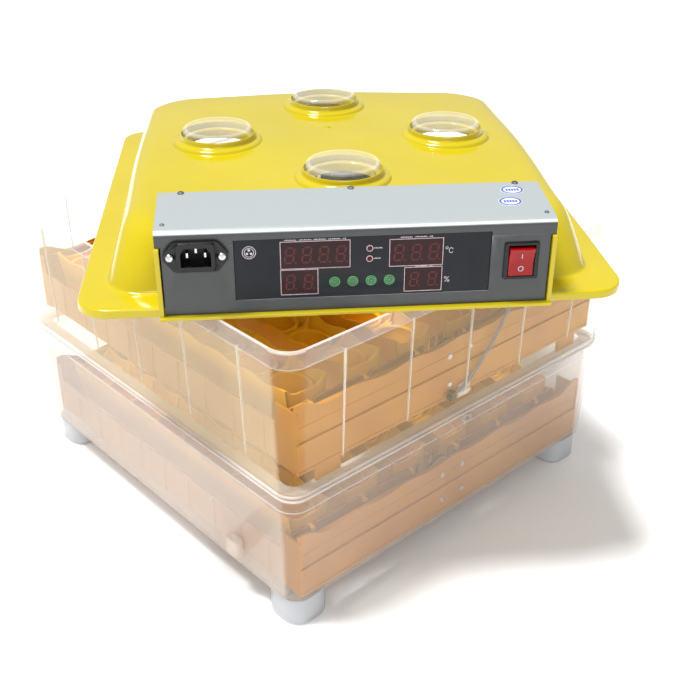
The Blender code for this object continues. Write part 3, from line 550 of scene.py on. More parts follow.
# ---- egg trays

def strip_half(z):
    """Half the width of a strip at a height over its pivot."""
    return 17 + 7 * (z - STRIP_FOOT) / 51


def scallop(y):
    """Height of a strip's side wall: high at the partitions, low beside each egg."""
    return 16 + 4 * abs(cos(pi * (y - STRIP_Y0) / CUP_PITCH)) ** 1.6


def strip_mesh():
    """One egg strip about its pivot: scalloped walls, saddle partitions and oval cups."""
    bm = bmesh.new()
    foot = strip_half(STRIP_FOOT)
    steps = CUPS * 10
    for side in (-1, 1):
        rings = []
        for k in range(steps + 1):
            y = STRIP_Y0 + (STRIP_Y1 - STRIP_Y0) * k / steps
            top = scallop(y)
            b = strip_half(top)
            pts = [(foot, STRIP_FOOT), (b, top), (b - 1.7, top), (foot - 1.7, STRIP_FOOT)]
            rings.append([(side * p, y, q) for p, q in pts[::side]])
        loft(bm, rings)
    crest = 19
    reach = strip_half(crest)
    for k in range(CUPS + 1):
        y = STRIP_Y0 + k * CUP_PITCH
        y0, y1 = (y, y + 2.2) if k == 0 else (y - 2.2, y) if k == CUPS else (y - 0.9, y + 0.9)
        pts = [(-foot + 0.8, STRIP_FOOT), (foot - 0.8, STRIP_FOOT), (reach - 0.8, crest)]
        dip = 12 if k in (0, CUPS) else 4
        for i in range(13):
            t = 1 - 2 * i / 12
            pts.append(((reach - 3) * t, dip + (crest - dip) * abs(t) ** 4.5))
        pts.append((-reach + 0.8, crest))
        prism(bm, pts, y0, y1, "y")
        if 0 < k < CUPS:
            saddle = [(-14, 4.4), (14, 4.4), (17, 8), (14, 6.2), (-14, 6.2), (-17, 8)]
            prism(bm, saddle, y - 3.4, y + 3.4, "y")
    cup = [(16.8, 7.4), (17.6, 8.4), (20, 8.4), (20.6, 7.4), (19.4, 3), (15.4, -9), (10.8, -21),
           (9.6, -25.6), (8.4, -25.6), (9.5, -20.4), (14, -8.6), (17.2, 3), (16.8, 7.4)]
    for k in range(CUPS):
        yc = STRIP_Y0 + (k + 0.5) * CUP_PITCH
        lathe(bm, cup, 36, "z", (0, yc, 0), 1, 1.08)
        for turn in range(4):
            a = radians(45 + 90 * turn)
            dx, dy = cos(a), sin(a)
            fin = [(min(max(r * dx, -17.6), 17.6), yc + r * dy * 0.86, z) for r, z in
                   ((17.5, -20), (25, -20), (25.5, 1), (18.5, -1))]
            loft(bm, [[(x - t * dy * 0.7, y + t * dx * 0.7, z) for x, y, z in fin] for t in (1, -1)])
    lathe(bm, [(0, -3), (3, -3), (3, 7), (2.5, 7.6), (0, 7.6)], 20, "y", (0, STRIP_Y0, 0))
    lathe(bm, [(0, -7.6), (2.5, -7.6), (3, -7), (3, 2), (0, 2)], 20, "y", (0, STRIP_Y1, 0))
    lathe(bm, [(0, -1), (2.5, -1), (2.5, 3.2), (2.1, 3.7), (0, 3.7)], 16, "y", (0, STRIP_Y0, -22))
    bmesh.ops.recalc_face_normals(bm, faces=bm.faces)
    return bm


def make_strips():
    shape = strip_mesh()
    shared = bpy.data.meshes.new("egg_strip")
    bmesh.ops.scale(shape, vec=(MM, MM, MM), verts=shape.verts)
    shape.to_mesh(shared)
    shape.free()
    smooth(shared, 35)
    # The strips take the brighter copy of the orange, painted light.
    shared.materials.append(M["orange_strip"])
    for layer, z0 in TRAY_Z.items():
        for k, x in enumerate(STRIP_X):
            name = "%s_strip_%d" % (layer, k + 1)
            ob = add("egg_" + name, shared)
            ob.matrix_world = BOX @ Matrix.Translation((x * MM, 0, (z0 + PIVOT_Z) * MM))
            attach(ob, name)
            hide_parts(name)


def rail(bm, side, z0):
    """Tall side rail in two steps with a scalloped crest and stiffening beads."""
    n, end = 76, TRAY_END
    lower = [(-end, z0), (end, z0), (end, z0 + 31), (-end, z0 + 31)]
    upper = [(-end, z0 + 29), (end, z0 + 29)]
    for k in range(n + 1):
        x = end - 2 * end * k / n
        rise = 0 if abs(x) < 166 else 7 * sin(pi * (abs(x) - 166) / 56) ** 2
        upper.append((x, z0 + 59.4 + 1.6 * cos(pi * x / 32) + rise))
    prism(bm, lower, side * 209.4, side * 212, "y")
    prism(bm, upper, side * 208, side * 210.6, "y")
    for z, y0, y1 in ((z0 + 3, 211.8, 212.6), (z0 + 30, 210.4, 212.4), (z0 + 45, 210.4, 211)):
        box(bm, -end, end, side * y0, side * y1, z - 0.8, z + 0.8)
    box(bm, -end, end, side * 209.8, side * 205.4, z0 + 56.6, z0 + 58.4)
    for k in range(13):
        x = -186 + k * 31
        box(bm, x - 0.7, x + 0.7, side * 208.2, side * 205.8, z0 + 1, z0 + 57)


def comb(bm, z0, y0, y1, window):
    """Cross wall with a slot for each strip's pin and, at the motor, a window."""
    half, wide, pin = 3.35, 189, PIVOT_Z - 3.35
    top, low = z0 + 48, z0 + pin
    pts = [(-wide, z0 + 1.5), (wide, z0 + 1.5), (wide, top)]
    slots = [(x + half, x - half, low) for x in reversed(STRIP_X)]
    if window:
        slots.insert(3, (MOTOR_X + 22, MOTOR_X - 22, z0 + 9))
    for right, left, bottom in slots:
        if bottom == low:
            pts += [(right + 1.6, top), (right, top - 2), (right, bottom + 1), (right - 1, bottom)]
            pts += [(left + 1, bottom), (left, bottom + 1), (left, top - 2), (left - 1.6, top)]
        else:
            pts += [(right, top), (right, bottom), (left, bottom), (left, top)]
    pts.append((-wide, top))
    prism(bm, pts, y0, y1, "y")


def make_rails(layer, z0, body):
    bm = bmesh.new()
    for s in (-1, 1):
        rail(bm, s, z0)
        box(bm, s * 186.5, s * 191.4, -210.2, 210.2, z0 + 2, z0 + 13)
        for y0, y1 in ((-211.6, -183.8), (201.9, 211.6)):
            box(bm, s * (TRAY_END - 2.3), s * (TRAY_END - 0.15), y0, y1, z0 + 0.6, z0 + 60.4)
        board = [(-211, z0 + 2.6), (211, z0 + 2.6)]
        for k in range(61):
            y = 211 - 422 * k / 60
            board.append((y, z0 + 40 + 0.9 * cos(2 * pi * y / 47.3)))
        prism(bm, board, s * (TRAY_END - 2), s * (TRAY_END - 0.4), "x")
        for k in range(9):
            y = -168 + 42 * k
            box(bm, s * (TRAY_END - 0.6), s * (TRAY_END + 0.7), y - 0.8, y + 0.8, z0 + 3, z0 + 37)
    comb(bm, z0, -186, -183.6, True)
    comb(bm, z0, 201.5, 203.9, False)
    if layer == "upper":
        for sx in (-1, 1):
            for sy in (-1, 1):
                box(bm, sx * 150, sx * 178, sy * 209, sy * 211.6, 150.5, z0 + 5)
    piece(layer + "_tray_rails", bm, "orange", body, [layer + "_tray_frame"], bevel=0.35)


def make_drive(layer, z0, body):
    """Turning motor behind the rail, its screws through it and its crank disc."""
    x, z = MOTOR_X, z0 + MOTOR_Z
    bm = bmesh.new()
    for dx in (-14, 14):
        for dz in (-14.5, 14.5):
            screw_head(bm, x + dx, -212 if dz < 0 else -210.6, z + dz, 2.9, 1.7)
    piece(layer + "_motor_screws", bm, "steel", body)
    bm = bmesh.new()
    prism(bm, plate_outline(x, z, 20, 20, 4, 5), -207.6, -205, "y")
    lathe(bm, [(0, -14), (17.6, -14), (19, -13), (19, -3), (18.4, -2.4), (18.4, 0), (0, 0)],
          40, "y", (x, -206.6, z))
    piece(layer + "_motor_can", bm, "steel", body, [layer + "_turn_motor"], bevel=0.3)
    bm = bmesh.new()
    crank_y = -192.2
    lathe(bm, [(0, -2.6), (18.9, -2.6), (19.4, -2.1), (19.4, -0.5), (18.9, 0), (8, 0), (6, 0.35), (0, 0.35)],
          40, "y", (x, crank_y, z))
    lathe(bm, [(0, -9), (2.5, -9), (2.9, -8.5), (2.9, 0), (0, 0)], 20, "y", (x, crank_y, z - 15.6))
    piece(layer + "_crank_disc", bm, "black", layer + "_crank", [layer + "_crank"])


def make_trays():
    for layer, body in (("lower", "base"), ("upper", "upper_box")):
        make_rails(layer, TRAY_Z[layer], body)
        make_drive(layer, TRAY_Z[layer], body)


def make_cable():
    """Twin grey motor lead in front of the rail, from its clip up to under the lid."""
    pts = [(-15.5, 168.4), (-7, 169), (-1, 170.6), (5, 173.6), (11, 178), (17, 183.2), (23, 188.8),
           (29, 194.6), (35, 200.4), (40.5, 206.4), (45.5, 212.6), (50, 219), (54.5, 225.5), (59, 232),
           (63, 239), (66.5, 246), (69.5, 253.2), (72, 260.5), (73.8, 268), (75, 275.6), (75.6, 281),
           (75.7, 286)]
    bm = bmesh.new()
    last = len(pts) - 1
    for side in (-1, 1):
        path = []
        for k, (x, z) in enumerate(pts):
            t = (Vector(pts[min(k + 1, last)]) - Vector(pts[max(k - 1, 0)])).normalized()
            gap = 0.95 + 0.5 * sin(k * 1.3) ** 2 * (0 < k < last)
            path.append((x - side * gap * t.y, -215 - max(z - 232, 0) * 0.04, z + side * gap * t.x))
        tube(bm, path, 0.95, 10)
    piece("motor_lead", bm, "cable", "upper_box", ["motor_cable"])
    bm = bmesh.new()
    box(bm, -4, 12, -214, -212.4, 160.5, 175)
    box(bm, -1, 10, -217.2, -213, 165.8, 168.2)
    piece("lead_guide", bm, "clear_rim", "upper_box", bevel=0.4)
    for name, node, x, y, z, rx, ry, rz in (
            ("lead_clamp", "lead_clip", -15.25, -215.3, 168.6, 3.75, 2.9, 4),
            ("lead_plug", "lead_socket", 75.7, -217.6, 284.2, 6, 4.4, 5.2)):
        clamp = name == "lead_clamp"
        bm = bmesh.new()
        box(bm, x - rx, x + rx, y - ry, y + ry, z - rz, z + rz)
        for s in (-1, 1):
            if clamp:
                box(bm, x - 1.4, x + 1.4, y - ry + 0.3, y + ry, z + s * 3.6, z + s * 5)
            else:
                box(bm, x + s * 5.6, x + s * 7, y - ry + 0.8, y + ry, z - 2, z + 2)
        block = piece(name, bm, "black", "upper_box", [node])
        bore = bmesh.new()
        if clamp:
            tube(bore, [(x - 6, y + 0.3, z), (x + 1, y + 0.3, z)], 2.2, 18)
        else:
            tube(bore, [(x, y + 0.6, z - 7), (x, y + 0.6, z + 2)], 2.2, 18)
        cut_with(block, bore, BOX)
        soften(block, 0.4)


def keep_cad():
    """CAD nodes whose shape is right keep their mesh and get the finished materials."""
    for mat, names in (("orange", ("lower_pull_bar", "upper_pull_bar")), ("board", ("circuit_board",)),
                       ("black", ("fan_frame", "fan_rotor")),
                       ("steel", ("fan_guard", "heater_ring", "sensor_probe"))):
        for name in names:
            for slot in frame["nodes"][name].material_slots:
                slot.material = M[mat]


# ---- lid

def lid_ring(dw, dd, r, z, pillow=1, steps=14):
    """Ring of the lid whose sides swell a little up and out above the flange."""
    hw, hd = LID_W / 2 - dw, LID_D / 2 - dd
    swell = min(max((z - 302) / 45, 0), 1) * pillow
    ring = rounded(hw, hd, r, z, steps)
    pts = []
    for k, a in enumerate(ring):
        b = ring[(k + 1) % len(ring)]
        count = 16 if k % (steps + 1) == steps else 1
        for i in range(count):
            x = a[0] + (b[0] - a[0]) * i / count
            y = a[1] + (b[1] - a[1]) * i / count
            bow = swell * abs(cos(2 * atan2(y / hd, x / hw))) ** 1.3
            out = 1 + 2.4 * bow / hw
            pts.append((x * out, y * out, z + 3.6 * bow))
    return pts


def smooth_profile(points, times=2):
    """Corner-cutting smoothing of an open profile of equal tuples."""
    for _ in range(times):
        out = [points[0]]
        for a, b in zip(points, points[1:]):
            out += [tuple(s * p + (1 - s) * q for p, q in zip(a, b)) for s in (0.75, 0.25)]
        points = out + [points[-1]]
    return points


def make_lid():
    """Dome and flange. Rows hold the insets in x and y, the corner radius and the height."""
    outline = [(0, 0, 28.5, SKIRT_Z), (0, 0, 28.5, 296.6), (0.3, 0.3, 28.2, 298), (1.1, 1.1, 27.4, 298.8),
               (2.6, 2.6, 26.2, FLANGE_Z), (17, 22.3, 30, FLANGE_Z)]
    edge_w, edge_d, edge_r = 64, 69.2, 36
    outline += smooth_profile([
        (18.5, 23.8, 30, FLANGE_Z), (21.6, 26.9, 31, 299.6), (22.9, 28.2, 31.5, 302.4),
        (26.2, 31.5, 33, 313), (31.4, 36.6, 36, 328.5), (36, 41.2, 38.5, 340), (41.6, 46.8, 39.5, 347.6),
        (51, 56.2, 38, 351.9), (edge_w, edge_d, edge_r, DOME_Z)])
    for k in range(1, 9):
        t = k / 9
        dw, dd = edge_w + (LID_W / 2 - 70) * t, edge_d + (LID_D / 2 - 75.2) * t
        height = DOME_Z + (CROWN_Z - DOME_Z + 1.6) * (1 - (1 - t) ** 2.2)
        soft = 0.94 * (LID_W / 2 - dw)
        outline.append((dw, dd, edge_r + (soft - edge_r) * min(1.6 * t, 1), height, (1 - t) ** 1.4))
    inner = [
        (214, 223, 2, CROWN_Z - 2.6), (130, 135, 28, CROWN_Z - 3.3), (62, 67.2, 33, DOME_Z - 2.5),
        (53, 58.2, 35, 349.2), (45.3, 50.5, 36.5, 345.4), (39, 44.2, 36, 338.6), (35.2, 40.4, 34, 330),
        (28.8, 34.1, 31, 311.4), (25.2, 30.5, 29, 300.6), (22.4, 27.7, 28, 296.5), (2.5, 2.5, 26, 296.5),
        (2.5, 2.5, 26, SKIRT_Z)]
    bm = bmesh.new()
    rings = outline + [(*ring, 0.6) for ring in inner]
    rows = [[bm.verts.new(p) for p in lid_ring(*ring)] for ring in rings]
    top, n = len(outline) - 1, len(rows[0])
    for a, row in enumerate(rows):
        after = rows[(a + 1) % len(rows)]
        for i in range(n if a != top else 0):
            j = (i + 1) % n
            bm.faces.new((row[i], row[j], after[j], after[i]))
    bm.faces.new(rows[top])
    bm.faces.new(list(reversed(rows[top + 1])))
    lid = piece("lid_dome", bm, "yellow", "lid", ["lid_shell"], angle=38)
    holes = bmesh.new()
    for x, y in WINDOWS.values():
        disc(holes, 0, 31, 345, 365, 48, "z", (x, y, 0))
    cut_with(lid, holes, LID)
    smooth(lid.data, 38)


def make_collars():
    """Stepped ring round each window, one moulded with the lid."""
    bm = bmesh.new()
    profile = [(29.5, 352), (45.5, 354), (43.6, 357.2), (42.6, 359.2), (41.2, 360.4), (39, 360.9),
               (37.6, 361.2), (36.6, 362), (36.2, 363.4), (36, 366), (35.6, 366.6), (35, 366.6),
               (34.6, 366), (34.6, COLLAR_Z), (30.6, COLLAR_Z), (29.8, 360.2), (29.5, 359.4), (29.5, 352)]
    for x, y in WINDOWS.values():
        lathe(bm, profile, 72, "z", (x, y, 0))
    lathe(bm, [(0, 355.4), (2.6, 356.2), (2.2, 357.3), (1.4, 357.9), (0, 358.1)], 24, "z", (-2, 37, 2))
    piece("window_collars", bm, "yellow", "lid", angle=50)


def make_windows():
    t, seat, face_r = WINDOW_TOP, COLLAR_Z + 0.3, 29.6
    profile = [(0, t - 1.8), (24.5, t - 2.1), (29, t - 2.8), (31, t - 3.9), (31.6, t - 5.3), (31.6, seat),
               (33.3, seat), (34.3, seat), (34.3, seat + 0.9), (33.3, seat + 1.3), (33.3, t - 3.6),
               (32.8, t - 2), (31.6, t - 0.9), (30.2, t - 0.7), (29.4, t - 1), (24.5, t - 0.25), (0, t)]
    for side, (x, y) in WINDOWS.items():
        bm = bmesh.new()
        lathe(bm, profile, 72, "z", (x, y, 0))
        lens = piece("lens_" + side, bm, "window", "lid", ["window_" + side], angle=30)
        lens.data.materials.append(M["window_face"])
        lens.data.materials.append(M["window_rim"])
        middle = LID @ Vector((x * MM, y * MM, 0))
        for face in lens.data.polygons:
            if face.center.z / MM > t - 3:
                reach = hypot(face.center.x - middle.x, face.center.y - middle.y) / MM
                face.material_index = 1 if reach < face_r else 2


# ---- control panel

def make_housing():
    """Yellow surround of the control panel: cheeks, rear wall and front lip."""
    bm = bmesh.new()
    cheek = [(-241, 292.4), (-206, 292.4), (-205, 300), (-193.5, 332), (-180, 348), (-180, 352.4),
             (-240.2, 352.4), (-241, 351.4)]
    upper = [(-236.8, 350), (-176, 349), (-172.4, 352), (-172.4, 370.2), (-229, 364.4), (-236.8, 360)]
    for s in (-1, 1):
        prism(bm, cheek, s * 154.2, s * 157.9, "x")
        prism(bm, upper, s * 153.8, s * 155.8, "x")
    box(bm, -155, 155, -174.6, -172.8, 350.2, 369.9)
    box(bm, -157.9, 157.9, -243.5, -232.4, 291.7, 294.4)
    box(bm, -154, 154, -237, -235.6, 292.6, 297)
    piece("panel_surround", bm, "yellow", "lid", bevel=0.6)


def make_cover():
    """Bent sheet cover with openings for the fascia, the inlet and the switch."""
    slope = atan2(COVER_TOP - BEND_Z, COVER_BACK - PANEL_Y - BEND_R)
    cy, cz = PANEL_Y + BEND_R, BEND_Z - BEND_R
    outer, inner = [(PANEL_Y, NOTCH_Z)], [(PANEL_Y + SHEET, NOTCH_Z)]
    for k in range(13):
        a = pi - (pi / 2 - slope) * k / 12
        for side, r in ((outer, BEND_R), (inner, BEND_R - SHEET)):
            side.append((cy + r * cos(a), cz + r * sin(a)))
    outer.append((COVER_BACK, COVER_TOP))
    inner.append((COVER_BACK, COVER_TOP - SHEET))
    bm = bmesh.new()
    prism(bm, outer + inner[::-1], -COVER_HALF, COVER_HALF, "x")
    box(bm, -PANEL_HALF, PANEL_HALF, PANEL_Y, PANEL_Y + SHEET, PANEL_Z0, NOTCH_Z + 0.5)
    lip = [(-236.4, 353.4), (-172, 353.4), (-172, 371.4), (-231, 365.6), (-235.6, 362.4)]
    for s in (-1, 1):
        prism(bm, lip, s * 156.2, s * (COVER_HALF - 0.1), "x")
    cover = piece("control_housing", bm, "grey", "lid", ["control_cover"], angle=25)
    holes = bmesh.new()
    for x0, x1, z0, z1 in (FASCIA, (INLET_X - 14, INLET_X + 14, INLET_Z - 10.6, INLET_Z + 10.6),
                           (SWITCH_X - 12.4, SWITCH_X + 12.4, SWITCH_Z - 14.4, SWITCH_Z + 14.4)):
        box(holes, x0, x1, -240, -236, z0, z1)
    cut_with(cover, holes, LID)
    soften(cover, 0.25)


def make_cover_trim():
    """Screws and two oval stickers on the cover's sloping top."""
    bm = bmesh.new()
    slope = (COVER_TOP - BEND_Z) / (COVER_BACK - PANEL_Y - BEND_R)
    for x, y, r, h in ((-138.7, -173, 2.8, 1.7), (0, -173, 2.8, 1.7), (137.6, -173, 2.8, 1.7),
                       (-151, -227, 2, 1.3), (151, -227, 2, 1.3)):
        screw_head(bm, x, y, COVER_TOP + slope * (y - COVER_BACK) - 0.2, r, h, "z")
    names = ["cover_screw_1", "cover_screw_2", "cover_screw_3"]
    piece("cover_screws", bm, "screw", "lid", names, angle=30)
    blue, white = bmesh.new(), bmesh.new()
    z, thick = COVER_TOP, 0.32
    for x, y in ((132.3, -186), (126.3, -206.5)):
        lathe(white, [(0, z - 0.3), (9.6, z - 0.3), (9.6, z + 0.16), (9.2, z + 0.2), (0, z + 0.2)], 40, "z",
              (x, y, 0), 1, 0.78)
        disc(blue, 7.4, 9.2, z, z + thick, 40, "z", (x, y, 0), 1, 0.76)
        for k in range(5):
            dash = x - 5.4 + 2.3 * k
            box(blue, dash, dash + 1.8, y - 2, y + 2, z, z + thick)
    for v in [*white.verts, *blue.verts]:
        v.co.z += slope * (v.co.y - COVER_BACK)
    piece("sticker_ovals", white, "white", "lid")
    piece("sticker_marks", blue, "blue", "lid")


def digit(bm, cx, cz, h, y):
    """Slanted seven-segment figure, every segment present and unlit."""
    w, t, g = h * 0.5, h * 0.12, h * 0.03

    def bar(ax, az, bx, bz):
        u = Vector((bx - ax, bz - az)).normalized()
        v = Vector((-u.y, u.x)) * t / 2
        a, b = Vector((ax, az)) + u * g, Vector((bx, bz)) - u * g
        e = u * t / 2
        pts = [a, a + e - v, b - e - v, b, b - e + v, a + e + v]
        prism(bm, [(cx + p.x + p.y * 0.12, cz + p.y) for p in pts], y, y - 0.12, "y")

    for z in (-h / 2, 0, h / 2):
        bar(-w / 2, z, w / 2, z)
    for x in (-w / 2, w / 2):
        bar(x, 0, x, h / 2)
        bar(x, -h / 2, x, 0)


def frame_line(bm, x0, x1, z0, z1, w, y0, y1):
    for a, b, c, d in ((x0, x1, z0, z0 + w), (x0, x1, z1 - w, z1), (x0, x0 + w, z0 + w, z1 - w),
                       (x1 - w, x1, z0 + w, z1 - w)):
        box(bm, a, b, y0, y1, c, d)


def caption(bm, x0, x1, z):
    """Row of short unreadable dashes where a printed caption would be."""
    x, k = x0, 0
    while x < x1 - 0.8:
        w = 0.75 + 0.45 * ((k * 7) % 5) / 4
        if k % 8 != 7:
            box(bm, x, x + w, FASCIA_Y - 0.06, FASCIA_Y + 0.02, z - 0.35, z + 0.35 + 0.3 * ((k * 3) % 2))
        x += w + 0.45
        k += 1


def make_plate():
    """Fascia plate with a hole for each button."""
    x0, x1, z0, z1 = FASCIA
    bm = bmesh.new()
    outline = plate_outline((x0 + x1) / 2, (z0 + z1) / 2, (x1 - x0) / 2 - 0.3, (z1 - z0) / 2 - 0.3, 1.2, 4)
    prism(bm, outline, FASCIA_Y, -236, "y")
    plate = piece("fascia_plate", bm, "slate", "lid", ["control_fascia"])
    holes = bmesh.new()
    for x in BUTTONS.values():
        disc(holes, 0, BUTTON_R + 0.25, 230, 245, 32, "y", (x, 0, BUTTON_Z))
    cut_with(plate, holes, LID)
    soften(plate, 0.25)


def make_readouts():
    frames, segments, front = bmesh.new(), bmesh.new(), -238.22
    for name, (x0, x1, z0, z1, count) in DISPLAYS.items():
        glass = bmesh.new()
        box(glass, x0, x1, -238.25, -237.85, z0, z1)
        piece("readout_" + name, glass, "maroon", "lid", ["display_" + name], bevel=0.1)
        frame_line(frames, x0 - 0.7, x1 + 0.7, z0 - 0.7, z1 + 0.7, 0.5, -238.35, -237.8)
        h, step, middle = (z1 - z0) * 0.58, (x1 - x0) / count, (z0 + z1) / 2
        for k in range(count):
            x = x0 + step * (k + 0.5)
            digit(segments, x, middle, h, front)
            disc(segments, 0, h * 0.06, 0, 0.12, 12, "y", (x + h * 0.36, front, middle - h * 0.5))
    piece("readout_frames", frames, "pink", "lid", bevel=0.08)
    piece("readout_segments", segments, "segment", "lid")


def make_legends():
    """Printed matter: captions as dashes, the degree, C and percent signs, and a plain badge."""
    ink = bmesh.new()

    def printed(r0, r1, n, x, z):
        disc(ink, r0, r1, -0.02, 0.08, n, "y", (x, FASCIA_Y, z))

    def stroke(points):
        prism(ink, points, FASCIA_Y + 0.02, FASCIA_Y - 0.08, "y")

    for x0, x1, z in ((-58, -10, 355.2), (-52, -41, 330.6), (33, 58, 354.4), (45, 59, 329.3),
                      (12, 18.6, LAMPS["upper"]), (12, 17.4, LAMPS["lower"])):
        caption(ink, x0, x1, z)
    printed(0.75, 1.15, 16, 70, 344.2)
    for a, b in ((30, 100), (100, 180), (180, 260), (260, 330)):
        arc = [radians(a + (b - a) * t / 4) for t in range(5)]
        stroke([(73.4 + 1.9 * cos(t), 342 + 2.4 * sin(t)) for t in arc]
               + [(73.4 + 1.4 * cos(t), 342 + 1.9 * sin(t)) for t in reversed(arc)])
    for dx, dz in ((-1.2, 1.5), (1.2, -1.5)):
        printed(0.5, 0.95, 14, 71 + dx, 317 + dz)
    stroke([(69.2, 314.8), (69.8, 314.8), (72.8, 319.2), (72.2, 319.2)])
    badge_x, badge_z = -85.5, 346.1
    for r in (5.4, 3.9):
        printed(r - 0.5, r, 36, badge_x, badge_z)
    for k in range(3):
        a = radians(90 + 120 * k)
        printed(0, 1, 16, badge_x + 1.9 * cos(a), badge_z + 1.9 * sin(a))
    piece("fascia_legends", ink, "ink", "lid")


def make_buttons():
    r, y, mark_y = BUTTON_R, -233.6, (-238.62, -238.4)
    for name, x in BUTTONS.items():
        body, at = "button_" + name, (x, y, BUTTON_Z)
        bm = bmesh.new()
        lathe(bm, [(0, 0), (r, 0), (r, 4.3), (r - 0.3, 4.7), (2.2, 4.9), (0, 4.95)], 32, "y", at)
        piece("cap_" + name, bm, "button", body, [body])
        bm = bmesh.new()
        if name in ("up", "down"):
            d = 1 if name == "up" else -1
            tri = [(x - 1.1, BUTTON_Z - 0.6 * d), (x + 1.1, BUTTON_Z - 0.6 * d), (x, BUTTON_Z + 1 * d)]
            prism(bm, tri, *mark_y, "y")
        else:
            for z in (BUTTON_Z - 0.7, BUTTON_Z + 0.4):
                box(bm, x - 1.3, x + 1.3, *mark_y, z, z + 0.4)
        lathe(bm, [(2.3, 4.8), (r - 0.35, 4.6), (r - 0.35, 4.82), (2.3, 5), (2.3, 4.8)], 32, "y", at)
        piece("mark_" + name, bm, "green", body)
        bm = bmesh.new()
        lathe(bm, [(r + 0.3, -0.1), (4.3, -0.1), (4.3, 0.3), (4.1, 0.5), (r + 0.5, 0.5), (r + 0.3, 0.3),
                   (r + 0.3, -0.1)], 32, "y", (x, FASCIA_Y, BUTTON_Z))
        piece("ring_" + name, bm, "green", "lid")


def make_lamps():
    for name, z in LAMPS.items():
        at = (LAMP_X, FASCIA_Y, z)
        bm = bmesh.new()
        lathe(bm, [(0, 0), (2, 0), (2, 0.5), (1.6, 1), (0.9, 1.25), (0, 1.3)], 24, "y", at)
        piece("led_" + name, bm, "lamp", "lid", ["lamp_" + name])
        bm = bmesh.new()
        lathe(bm, [(2.1, 0), (2.75, 0), (2.75, 0.3), (2.55, 0.5), (2.1, 0.5), (2.1, 0)], 28, "y", at)
        piece("led_ring_" + name, bm, "pink", "lid")


def make_inlet():
    """Mains inlet: a flange with pointed ears, a raised collar, a recess with three pins, and two screws."""
    def at(points):
        return [(INLET_X + x, INLET_Z + z) for x, z in points]

    bm = bmesh.new()
    ear = [(25.2, 2.2), (22.6, 5.4), (17.6, 11.6), (15, 12.6)]
    above = [(-x, z) for x, z in ear] + ear[::-1]
    prism(bm, at(above + [(-x, -z) for x, z in above]), -238.8, -241.4, "y")
    loft(bm, [[(x, y, z) for x, z in plate_outline(INLET_X, INLET_Z, hw, hd, r, 5)] for hw, hd, r, y in
              ((14.8, 11.8, 3.4, -240.6), (14.8, 11.8, 3.4, -242.5), (14.3, 11.3, 3, -243))])
    box(bm, INLET_X - 13.6, INLET_X + 13.6, -241, -219, INLET_Z - 10.2, INLET_Z + 10.2)
    shell = piece("inlet_shell", bm, "black", "lid", ["power_inlet"], angle=25)
    bore = bmesh.new()
    mouth = [(-11.7, -7.8), (11.7, -7.8), (11.7, 3), (8.6, 7.8), (-8.6, 7.8), (-11.7, 3)]
    prism(bore, at(mouth), -244, -226, "y")
    cut_with(shell, bore, LID)
    bm = bmesh.new()
    for x, z in at([(-7, -1.5), (0, 2.4), (7, -1.5)]):
        box(bm, x - 0.9, x + 0.9, -234.4, -225.6, z - 2, z + 2)
    for x in (INLET_X - 20.2, INLET_X + 20.2):
        screw_head(bm, x, -241.3, INLET_Z, 3.1, 1.6)
    piece("inlet_pins_screws", bm, "steel", "lid", bevel=0.15)


def make_switch():
    x0, z0 = SWITCH_X, SWITCH_Z
    bm = bmesh.new()
    rings = []
    for g, y in ((0, -238.8), (0, -240.2), (0.7, -240.8), (2.9, -240.8), (3.4, -240.2), (3.4, -223)):
        outline = plate_outline(x0, z0, 14 - g, 15.8 - g * 0.76, max(1.6 - g * 0.4, 0.4), 4)
        rings.append([(x, y, z) for x, z in outline])
    loft(bm, rings, caps=False)
    for s in (-1, 1):
        box(bm, x0 + s * 12.2, x0 + s * 10.6, -238.9, -222, z0 - 13.6, z0 + 13.6)
    box(bm, x0 - 12.2, x0 + 12.2, -223.4, -222, z0 - 14, z0 + 14)
    piece("switch_frame", bm, "black", "lid", ["switch_bezel"], angle=30)
    c, s = cos(radians(8)), sin(radians(8))

    def spin(y, z):
        """Point of the rocker, tipped about its pivot."""
        return -234.6 + c * y - s * z, z0 + s * y + c * z

    bm = bmesh.new()
    heights = [12 - 2 * k for k in range(13)]
    side = [(-5.6 - 2 * (abs(z) / 12) ** 1.7, z) for z in heights]
    side += [(-6.8, -12.5), (-1.5, -11.4), (5, -6), (5, 6), (-1.5, 11.4), (-6.8, 12.5)]
    prism(bm, [spin(y, z) for y, z in side], x0 - 10.2, x0 + 10.2, "x")
    piece("rocker", bm, "red", "switch_rocker", ["switch_rocker"], bevel=0.5, angle=25)
    bm = bmesh.new()
    y, z = spin(-6.35, 6.2)
    box(bm, x0 - 0.35, x0 + 0.35, y - 0.25, y + 0.4, z - 2.4, z + 2.4)
    y, z = spin(-6.35, -6)
    disc(bm, 1.7, 2.3, -0.6, 0.3, 28, "y", (x0, y, z))
    piece("rocker_marks", bm, "ink", "switch_rocker")


# ---- studio

def make_camera():
    data = bpy.data.cameras.new("camera")
    data.lens, data.sensor_width = 52.737, 36
    data.clip_start, data.clip_end = 0.05, 50
    cam = add("camera", data)
    azimuth, elevation, roll = radians(-42.706), radians(29.42), radians(0.252)
    turn = Matrix.Rotation(azimuth, 4, "Z") @ Matrix.Rotation(pi / 2 - elevation, 4, "X")
    place = Matrix.Translation((-0.6472, -0.7270, 0.6706))
    cam.matrix_world = place @ turn @ Matrix.Rotation(roll, 4, "Z")
    bpy.context.scene.camera = cam


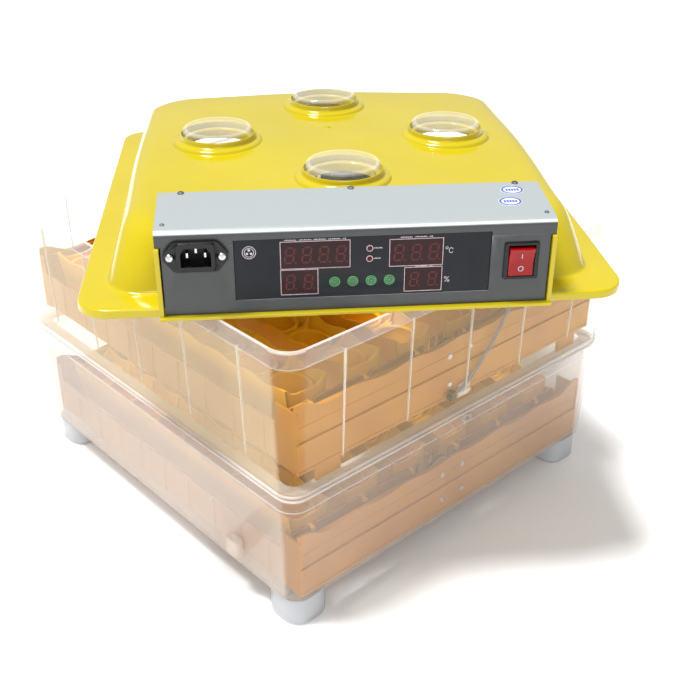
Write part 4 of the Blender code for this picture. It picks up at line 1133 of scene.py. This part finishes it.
def lamp(kind, name, place, target, power, **shape):
    data = bpy.data.lights.new(name, kind)
    data.energy = power
    for key, value in shape.items():
        setattr(data, key, value)
    ob = add(name, data)
    ob.location = place
    ob.rotation_euler = (Vector(target) - Vector(place)).to_track_quat("-Z", "Y").to_euler()


def make_studio():
    scene = bpy.context.scene
    scene.view_settings.view_transform = "Standard"
    scene.view_settings.look = "None"
    world = bpy.data.worlds.new("studio")
    world.use_nodes = True
    tree = world.node_tree
    lit, seen = tree.nodes["Background"], tree.nodes.new("ShaderNodeBackground")
    path, mix = tree.nodes.new("ShaderNodeLightPath"), tree.nodes.new("ShaderNodeMixShader")
    tree.links.new(path.outputs["Is Camera Ray"], mix.inputs["Fac"])
    for k, (node, strength) in enumerate(((lit, 0.53), (seen, 1.05))):
        node.inputs["Color"].default_value = (1, 1, 1, 1)
        node.inputs["Strength"].default_value = strength
        tree.links.new(node.outputs["Background"], mix.inputs[1 + k])
    tree.links.new(mix.outputs["Shader"], tree.nodes["World Output"].inputs["Surface"])
    scene.world = world
    bm = bmesh.new()
    bmesh.ops.create_circle(bm, cap_ends=True, radius=6, segments=64)
    mesh = bpy.data.meshes.new("floor")
    bm.to_mesh(mesh)
    bm.free()
    floor = add("floor", mesh)
    p = Paint("PaperFloor")
    p.set({"Roughness": 0.8})
    p.colour_from(p.noise(2), (0.92, 0.92, 0.92), (0.94, 0.94, 0.94))
    mesh.materials.append(p.mat)
    lamp("SUN", "key", (-0.72, 0.52, 3), (0, 0, 0.15), 4.6, angle=radians(15))
    lamp("AREA", "fill", (-1.3, -1.7, 1.5), (0, 0, 0.2), 13, shape="RECTANGLE", size=1, size_y=0.8)


def main():
    for make in (make_camera, make_studio, make_base_tub, make_seam_details, make_upper_tub, make_wall_ribs,
                 make_feet, make_filler, make_strips, make_trays, make_cable, keep_cad, make_lid,
                 make_collars, make_windows, make_housing, make_cover, make_cover_trim, make_plate,
                 make_readouts, make_legends, make_buttons, make_lamps, make_inlet, make_switch):
        make()


main()
